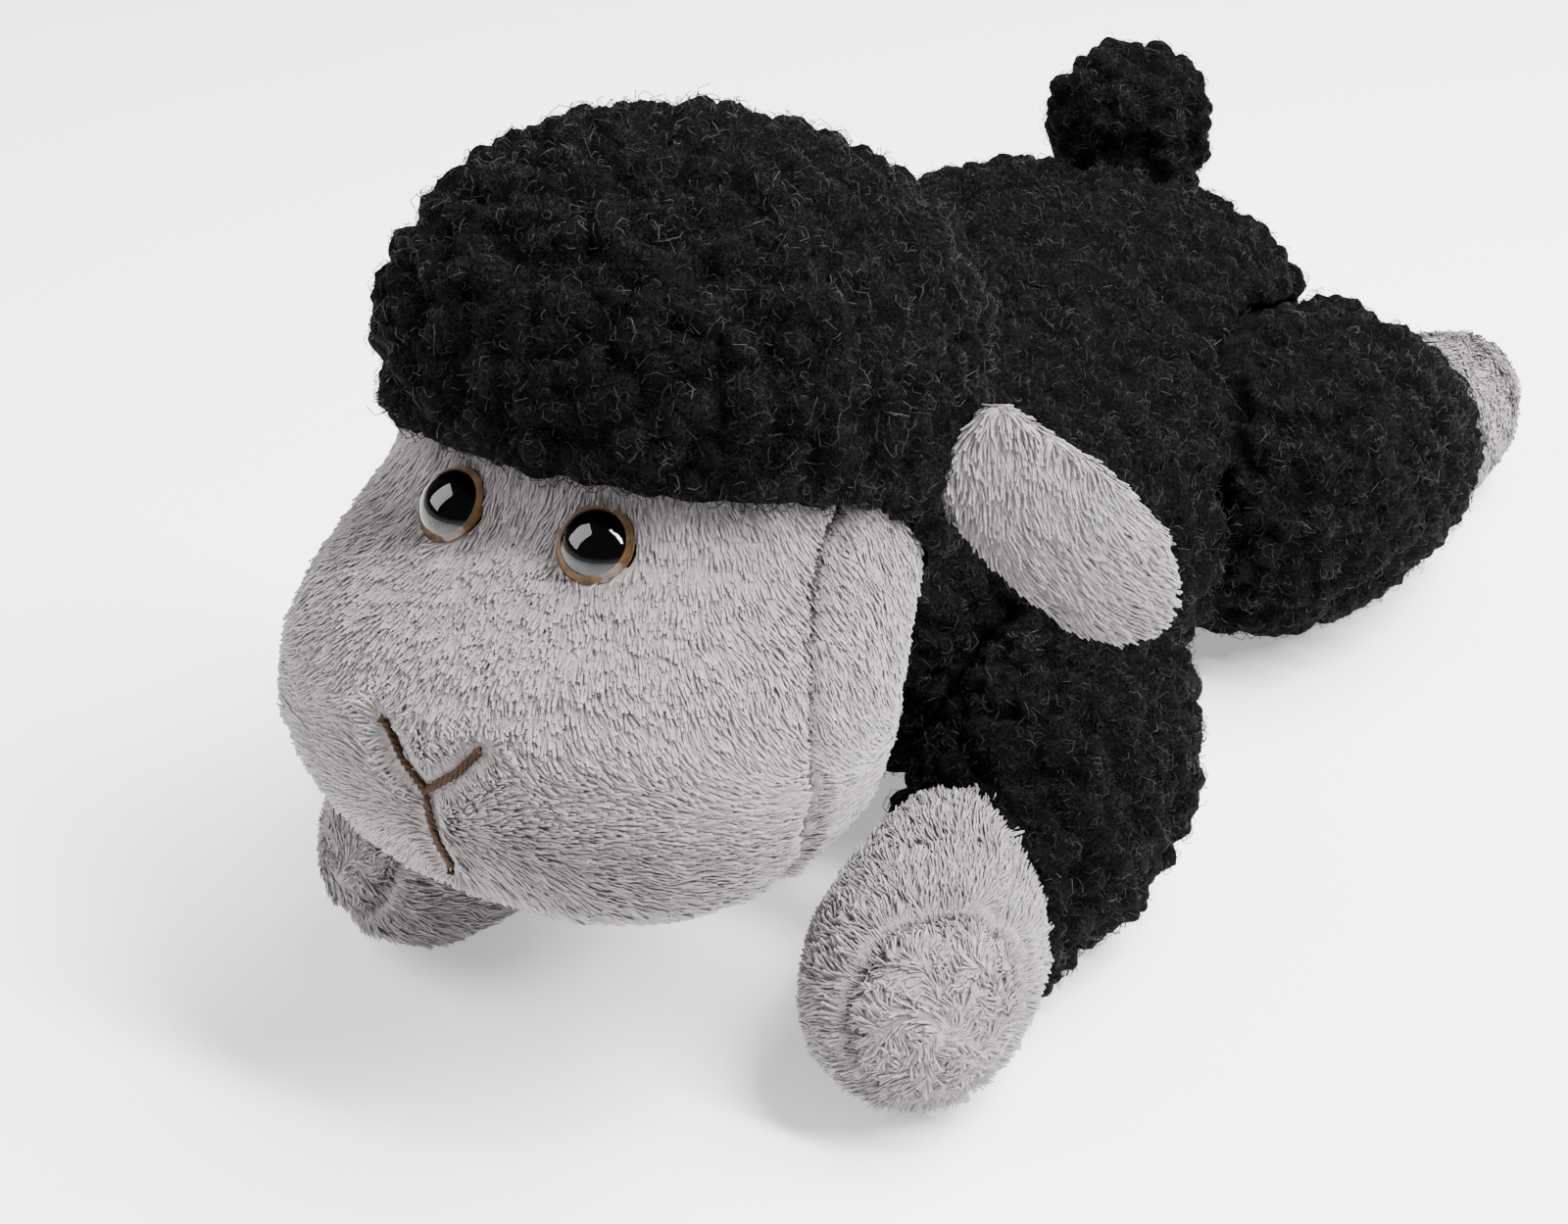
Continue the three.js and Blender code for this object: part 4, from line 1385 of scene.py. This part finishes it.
@dataclass
class SafetyEye:
    """A plastic safety eye: clear dome, amber ring, black pupil with a ribbed shank, white washer."""

    finishes: Finishes
    side: Side
    radius: float = 6.0
    dome_height: float = 4.4
    pupil_radius: float = 4.3
    pupil_rise: float = 0.5
    plate: float = 0.9
    gap: float = 0.12
    shank_radius: float = 1.7
    shank_length: float = 11.0
    rib: float = 0.25
    ribs: int = 3
    cloth_grip: float = 1.1
    sides: int = 64
    arc_steps: int = 16
    edge: float = 0.35
    seat: float = 0.15
    merge_gap: float = 0.002
    sharp_angle: float = 40.0

    @property
    def base(self) -> float:
        """The level of the dome's back."""
        return self.plate + self.pupil_rise + self.gap / 2

    def frame(self) -> Matrix:
        """Finds the eye's place from its ring and its washer: Z looks out, and the plate's back is at 0."""
        ring = middle_of(f"eye_{self.side.value}_iris")
        out = (ring - middle_of(f"eye_{self.side.value}_washer")).normalized()
        ring_level = self.plate + (self.gap + self.pupil_rise) / 2
        turned = out.to_track_quat("Z", "Y").to_matrix().to_4x4()
        return Matrix.Translation(ring - out * ring_level * MM) @ turned

    def lathe(self, name: str, profile: list[tuple[float, float]], material: Material) -> Piece:
        """Turns a profile round the eye's axis.

        Args:
            name: The piece's name.
            profile: Radius and height of each point, from the back pole outwards to the front pole.
            material: Its material.

        Returns:
            The closed piece.
        """
        place = self.frame()
        angles = [2 * math.pi * step / self.sides for step in range(self.sides)]
        points = [
            place @ (Vector((radius * math.cos(angle), radius * math.sin(angle), height)) * MM)
            for radius, height in profile for angle in angles
        ]
        faces = []
        for low in range(0, (len(profile) - 1) * self.sides, self.sides):
            high = low + self.sides
            for step in range(self.sides):
                after = (step + 1) % self.sides
                faces.append((low + step, low + after, high + after, high + step))
        piece = mesh_object(name, points, faces, material)
        face_outwards(piece.data, self.merge_gap)
        piece.data.set_sharp_from_angle(angle=math.radians(self.sharp_angle))
        return piece

    def dome(self) -> list[tuple[float, float]]:
        """The profile of the clear dome: flat behind, and part of a ball in front.

        Returns:
            Radius and height of each point, in millimetres.
        """
        rise = self.dome_height - self.pupil_rise
        ball = (self.radius ** 2 + rise ** 2) / (2 * rise)
        half = math.asin(self.radius / ball)
        made = [(0.0, self.base), (self.radius - self.edge, self.base), (self.radius, self.base + self.edge)]
        for step in range(2, self.arc_steps + 1):
            angle = half * (1 - step / self.arc_steps)
            height = self.base + self.gap / 2 + rise - ball * (1 - math.cos(angle))
            made.append((ball * math.sin(angle), height))
        return made

    def ring(self) -> list[tuple[float, float]]:
        """The profile of the amber ring, which lies on the plate round the pupil."""
        inner, outer = self.pupil_radius, self.radius - self.edge
        front = self.base + self.seat
        corners = [(inner, self.plate), (outer, self.plate), (outer, front), (inner, front)]
        return [*corners, corners[0]]

    def back(self) -> list[tuple[float, float]]:
        """The profile of the black back: the ribbed shank, the plate and the raised pupil.

        Returns:
            Radius and height of each point, in millimetres.
        """
        made = [(0.0, -self.shank_length), (self.shank_radius / 2, -self.shank_length)]
        pitch = (self.shank_length - self.cloth_grip - self.shank_radius) / self.ribs
        for number in range(self.ribs):
            height = self.shank_radius - self.shank_length + number * pitch
            made.append((self.shank_radius, height))
            made.append((self.shank_radius + self.rib, height + pitch / 2))
            made.append((self.shank_radius, height + pitch / 2))
        front = self.base + self.seat
        made += [(self.shank_radius, 0.0), (self.radius, 0.0), (self.radius, self.plate)]
        return made + [(self.pupil_radius, self.plate), (self.pupil_radius, front), (0.0, front)]

    def build(self) -> None:
        """Builds the eye's pieces and dresses the washer."""
        eye = f"eye_{self.side.value}"
        finishes = self.finishes
        pieces = {
            "dome": (self.lathe(f"{eye}_clear_dome", self.dome(), finishes.dome), "clear"),
            "iris": (self.lathe(f"{eye}_amber_ring", self.ring(), finishes.iris), "amber"),
            "back": (self.lathe(f"{eye}_pupil_and_shank", self.back(), finishes.pupil), "black"),
        }
        for node, (piece, slot) in pieces.items():
            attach(piece, "head")
            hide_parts(f"{eye}_{node}")
        washer = frame["nodes"][f"{eye}_washer"]
        washer.data.materials.clear()
        washer.data.materials.append(finishes.washer)
        log.info("%s: dome, ring, pupil and shank, washer", eye)


@dataclass
class Nose:
    """The Y of the nose and mouth, sewn with twisted thread, in the head's frame."""

    level: float = -13.85
    spread: float = 9.0
    rise: float = 8.5
    drop: float = 15.0
    bend: tuple[float, float] = (0.55, 0.45)
    line_steps: int = 6
    reach: float = 100.0
    strands: int = 3
    strand_radius: float = 0.38
    strand_sides: int = 6
    strand_pitch: float = 3.4

    def lines(self) -> list[np.ndarray]:
        """The three lines of the Y, as rows of x and z."""
        across, up = self.bend
        ends = [[0.0, self.level]]
        arms = [
            [(side.sign * self.spread * across, self.level + self.rise * up),
             (side.sign * self.spread, self.level + self.rise)] for side in Side
        ]
        stem = [(0.0, self.level - self.drop / 2), (0.0, self.level - self.drop)]
        return [np.array(ends + line) for line in (*arms, stem)]

    def paths(self, place: Matrix, face: BVHTree) -> list[list[Vector]]:
        """Lays the lines on the face.

        Args:
            place: The head's frame.
            face: The face to lay them on.

        Returns:
            The points of each line, in metres.
        """
        back = place.to_3x3() @ Vector((0, 1, 0))
        paths = []
        for line in self.lines():
            spots = [
                start + (end - start) * (step / self.line_steps)
                for start, end in zip(line[:-1], line[1:]) for step in range(self.line_steps)
            ]
            spots.append(line[-1])
            starts = [place @ (Vector((across, -self.reach, level)) * MM) for across, level in spots]
            paths.append([face.ray_cast(start, back)[0] for start in starts])
        return paths

    def build(self, paths: list[list[Vector]], material: Material) -> None:
        """Twists strands of thread along the lines.

        Args:
            paths: The points of the three lines on the face.
            material: The thread.
        """
        points, faces = [], []
        for path in paths:
            for strand in range(self.strands):
                self.twist(path, strand / self.strands, points, faces)
        nose = mesh_object("nose_thread", points, faces, material)
        face_outwards(nose.data)
        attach(nose, "head")
        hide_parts("nose_stitch")
        log.info("head: nose_thread")

    def twist(self, path: list[Vector], turn: float, points: list, faces: list) -> None:
        """Adds one closed strand that winds round a path.

        Args:
            path: The points of the path.
            turn: The share of a turn at which it starts.
            points: The vertices so far, which grow.
            faces: The faces so far, which grow.
        """
        sides = self.strand_sides
        first = len(points)
        length = 0.0
        for number, spot in enumerate(path):
            if number:
                length += (spot - path[number - 1]).length
            tangent = (path[min(number + 1, len(path) - 1)] - path[max(number - 1, 0)]).normalized()
            across = tangent.cross(UP).normalized()
            out = across.cross(tangent)
            phase = 2 * math.pi * (turn + length / (self.strand_pitch * MM))
            way = across * math.cos(phase) + out * math.sin(phase)
            middle = spot + way * self.strand_radius * MM
            for corner in range(sides):
                angle = 2 * math.pi * corner / sides
                ring = across * math.cos(angle) + out * math.sin(angle)
                points.append(middle + ring * self.strand_radius * MM)
        last = first + (len(path) - 1) * sides
        for low in range(first, last, sides):
            for corner in range(sides):
                after = (corner + 1) % sides
                faces.append((low + corner, low + after, low + sides + after, low + sides + corner))
        faces.append(tuple(first + corner for corner in range(sides)))
        faces.append(tuple(last + corner for corner in reversed(range(sides))))


@dataclass
class Head:
    """The head: a plush face of three panels, a wool cap, and the sewn nose."""

    dresser: Dresser
    nose: Nose = field(default_factory=Nose)
    ahead: float = 48.8
    across: float = -5.0
    rise: float = 24.6
    turn: float = -8.6
    tip: float = -6.5
    lean: float = -3.5
    grain: float = 1.2
    smoothing: int = 24
    seam_depth: float = 1.9
    seam_reach: float = 1.5
    seam_front: float = -24.6
    seam_level: float = -11.0
    seam_bow: float = 0.0145
    eye_clearance: float = 6.0
    eye_clearance_edge: float = 0.3
    eye_swell: float = 0.8
    swell_reach: float = 1.4
    stitch_clearance: float = 1.5
    stitch_clearance_share: float = 0.6
    stitch_depth: float = 1.2
    stitch_reach: float = 2.0
    parting: float = 4.5
    parting_share: float = 1 / 3
    mouth_level: float = -20.0
    muzzle_levels: tuple[float, float] = (-18.0, 6.0)
    forehead_spread: float = 0.00625
    forehead_back: float = 0.15
    muzzle_back: float = 0.7
    tuft_length: float = 2.1
    rise_share: float = 0.15
    fill: float = 0.85
    cap_grain: float = 1.8
    cap_smoothing: int = 5
    cap_edge: float = 7.0
    cap_fill: float = 0.5
    face_seed: int = 60
    cap_seed: int = 51
    face_nodes: tuple[str, ...] = ("face_front_panel", "cheek_left_panel", "cheek_right_panel")

    def frame(self) -> Matrix:
        """The head's own frame: x to its left, y back, z up."""
        neck = Vector(JOINTS["neck_turn"]["pos_m"])
        place = neck + Vector((self.across, -self.ahead, self.rise)) * MM
        turned = Matrix.Rotation(math.radians(self.turn), 4, "Z")
        tipped = Matrix.Rotation(math.radians(self.tip), 4, "X")
        leant = Matrix.Rotation(math.radians(self.lean), 4, "Y")
        return Matrix.Translation(place) @ turned @ tipped @ leant

    def local(self, places: np.ndarray) -> np.ndarray:
        """Turns places to the head's frame, in millimetres."""
        inverse = np.array(self.frame().inverted())
        return (places @ inverse[:3, :3].T + inverse[:3, 3]) / MM

    def build(self) -> None:
        """Builds and dresses the head's pieces."""
        front, left, right = self.face_nodes
        skin = FormSkin("face_skin", [*self.face_nodes, "head_stuffing"], self.grain, self.smoothing,
                        self.seam_depth, self.seam_reach, wraps_filling=False)
        names = {front: "face_plush", left: "cheek_left_plush", right: "cheek_right_plush"}
        panels = skin.panels(names, self.cheek_cut)
        paths = self.nose.paths(self.frame(), tree_of([front]))
        for number, panel in enumerate(panels.values()):
            self.dress(panel, [point for path in paths for point in path], self.face_seed + number)
            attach(panel, "head")
        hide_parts(front, "head_stuffing")
        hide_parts(left)
        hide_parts(right)
        log.info("head: %s", ", ".join(panels))
        self.nose.build(paths, self.dresser.finishes.thread)
        self.build_cap()

    def dress(self, panel: Piece, stitches: list[Vector], seed: int) -> None:
        """Sinks a panel at the stitches, swells it round the eyes, and covers it with pile.

        Args:
            panel: The panel.
            stitches: Points along the sewn nose.
            seed: Its own random seed.
        """
        places = vertices_of(panel.data)
        search = points_tree(stitches)
        found = [search.find(place) for place in places]
        gaps = np.array([hit[2] for hit in found])
        eyes = [np.array(SafetyEye(self.dresser.finishes, side).frame().translation) for side in Side]
        from_eyes = [np.linalg.norm(places - eye, axis=1) for eye in eyes]
        sunk = self.stitch_depth * MM * nearness(gaps, self.stitch_reach)
        for away in from_eyes:
            sunk -= self.eye_swell * MM * nearness(away - SafetyEye.radius * MM, self.swell_reach)
        reshape(panel.data, places - normals_of(panel.data) * sunk[:, None])
        shows = self.dresser.cover(panel, "head", ("front_leg_left", "front_leg_right"))
        clear = self.stitch_clearance * MM
        shows *= eased(gaps, clear * self.stitch_clearance_share, clear)
        for away in from_eyes:
            edge = (self.eye_clearance + self.eye_clearance_edge) * MM
            shows *= eased(away, self.eye_clearance * MM, edge)
        flow = self.flow(self.local(places)) @ np.array(self.frame().to_3x3()).T
        apart = unit(places - np.array([hit[0] for hit in found]), 1e-9)
        parting = self.parting * MM
        near = (1 - eased(gaps, parting * self.parting_share, parting))[:, None]
        self.dresser.plush(panel, shows, flow * (1 - near) + apart * near, seed,
                           tuft_length=self.tuft_length * MM, rise_share=self.rise_share)

    def cheek_cut(self, places: np.ndarray, nearest: np.ndarray) -> np.ndarray:
        """Moves the face's side seams to where they run down the cheeks, bowed to the front.

        Args:
            places: Places on the skin.
            nearest: The number of the node that each belongs to: front, left, right, filling.

        Returns:
            The new numbers.
        """
        x, y, z = self.local(places).T
        behind = y > self.seam_front + self.seam_bow * (z - self.seam_level) ** 2
        cheek = np.where(behind, np.where(x > 0, 1, 2), 0)
        return np.where(nearest < len(self.face_nodes), cheek, nearest)

    def flow(self, local: np.ndarray) -> np.ndarray:
        """Finds how the pile of the face leans: down the forehead, and away from the mouth on the muzzle.

        Args:
            local: Places in the head's frame, in millimetres.

        Returns:
            A vector in the head's frame for each place.
        """
        x, z = local[:, 0], local[:, 2]
        down = np.stack([self.forehead_spread * x, self.forehead_back + 0 * x, -1 + 0 * x], axis=1)
        apart = unit(np.stack([x, self.muzzle_back * np.abs(x), z - self.mouth_level], axis=1), 1e-6)
        share = (1 - eased(z, *self.muzzle_levels))[:, None]
        return down * (1 - share) + apart * share

    def build_cap(self) -> None:
        """Builds the wool cap over the crown."""
        nodes = ["head_wool_cap", *self.face_nodes, "head_stuffing"]
        skin = FormSkin("cap_skin", nodes, self.cap_grain, self.cap_smoothing, wraps_filling=False)
        cap = skin.panels({"head_wool_cap": "cap_wool"})["cap_wool"]
        shows = self.dresser.cover(cap, "head", ("ear_left", "ear_right"), self.dresser.wool_gap)
        rim = distances(vertices_of(cap.data), tree_of(list(self.face_nodes)))
        self.dresser.wool(cap, shows, self.cap_seed, 1 - eased(rim, 0, self.cap_edge * MM))
        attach(cap, "head")
        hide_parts("head_wool_cap")
        log.info("head: cap_wool")


@dataclass(frozen=True)
class SoftBox:
    """A rectangular lamp: its place and its size in millimetres, and its power in watts."""

    name: str
    place: tuple[float, float, float]
    size: tuple[float, float]
    power: float


@dataclass
class Studio:
    """A pale paper floor, soft lamps and the camera."""

    finishes: Finishes
    eye_place: tuple[float, float, float] = (186.04, -433.68, 291.54)
    target: tuple[float, float, float] = (-3.57, -48.91, 42.0)
    lens: float = 67.99
    sensor: float = 36.0
    view_depth: float = 20.0
    floor_width: float = 6000.0
    sky_colour: str = "#ffffff"
    sky_band: float = 0.1
    sky_light: tuple[float, float] = (0.9, 0.08)
    lamps: tuple[SoftBox, ...] = (
        SoftBox("key_softbox", (-560, -420, 600), (580, 800), 11.0),
        SoftBox("side_softbox", (560, -100, 760), (110, 620), 27.0),
        SoftBox("top_softbox", (300, 300, 880), (700, 700), 32.0),
    )

    def aim(self, made: Piece, place: tuple[float, float, float]) -> None:
        """Puts a lamp or camera at a place in millimetres, where it looks at the sheep."""
        spot = Vector(place) * MM
        way = Vector(self.target) * MM - spot
        made.matrix_world = Matrix.Translation(spot) @ way.to_track_quat("-Z", "Y").to_matrix().to_4x4()

    def light(self) -> None:
        """Hangs the lamps, and makes the sky pale at the horizon and dark above."""
        for lamp in self.lamps:
            data = bpy.data.lights.new(lamp.name, "AREA")
            data.shape = "RECTANGLE"
            data.size, data.size_y = (side * MM for side in lamp.size)
            data.energy = lamp.power
            self.aim(new_object(lamp.name, data), lamp.place)
        world = bpy.data.worlds.new("studio")
        world.use_nodes = True
        tree = world.node_tree
        way = add_node(tree, "ShaderNodeTexCoord").outputs["Generated"]
        up = add_node(tree, "ShaderNodeSeparateXYZ", {0: way}).outputs[2]
        sky = tree.nodes["Background"].inputs
        sky["Color"].default_value = linear(self.sky_colour)
        tree.links.new(remap(tree, up, (0.0, self.sky_band), self.sky_light), sky["Strength"])
        bpy.context.scene.world = world

    def build(self) -> None:
        """Builds the floor, the lamps, the sky and the camera."""
        half = self.floor_width * MM / 2
        corners = [(-half, -half, 0), (half, -half, 0), (half, half, 0), (-half, half, 0)]
        mesh_object("paper_floor", corners, [(0, 1, 2, 3)], self.finishes.paper)
        self.light()
        data = bpy.data.cameras.new("camera")
        data.lens = self.lens
        data.sensor_width = self.sensor
        data.clip_end = self.view_depth
        camera = new_object("camera", data)
        self.aim(camera, self.eye_place)
        bpy.context.scene.camera = camera
        log.info("studio: floor, lamps, camera")


def main() -> None:
    """Builds the sheep and the studio."""
    logging.basicConfig(level=logging.INFO, format="%(name)s %(message)s")
    finishes = Finishes()
    Studio(finishes).build()
    dresser = Dresser(finishes)
    Torso(dresser).build()
    for number, side in enumerate(Side):
        seed = SEEDS_PER_SIDE * number
        Leg(dresser, side, "front_leg", "front_paw", f"shoulder_{side.value}_swing", 10 + seed).build()
        Leg(dresser, side, "hind_leg", "hind_foot", f"hip_{side.value}_swing", 20 + seed).build()
        Ear(dresser, side, 30 + seed).build()
        SafetyEye(finishes, side).build()
    Tail(dresser).build()
    Head(dresser).build()


if __name__ == "__main__":
    main()
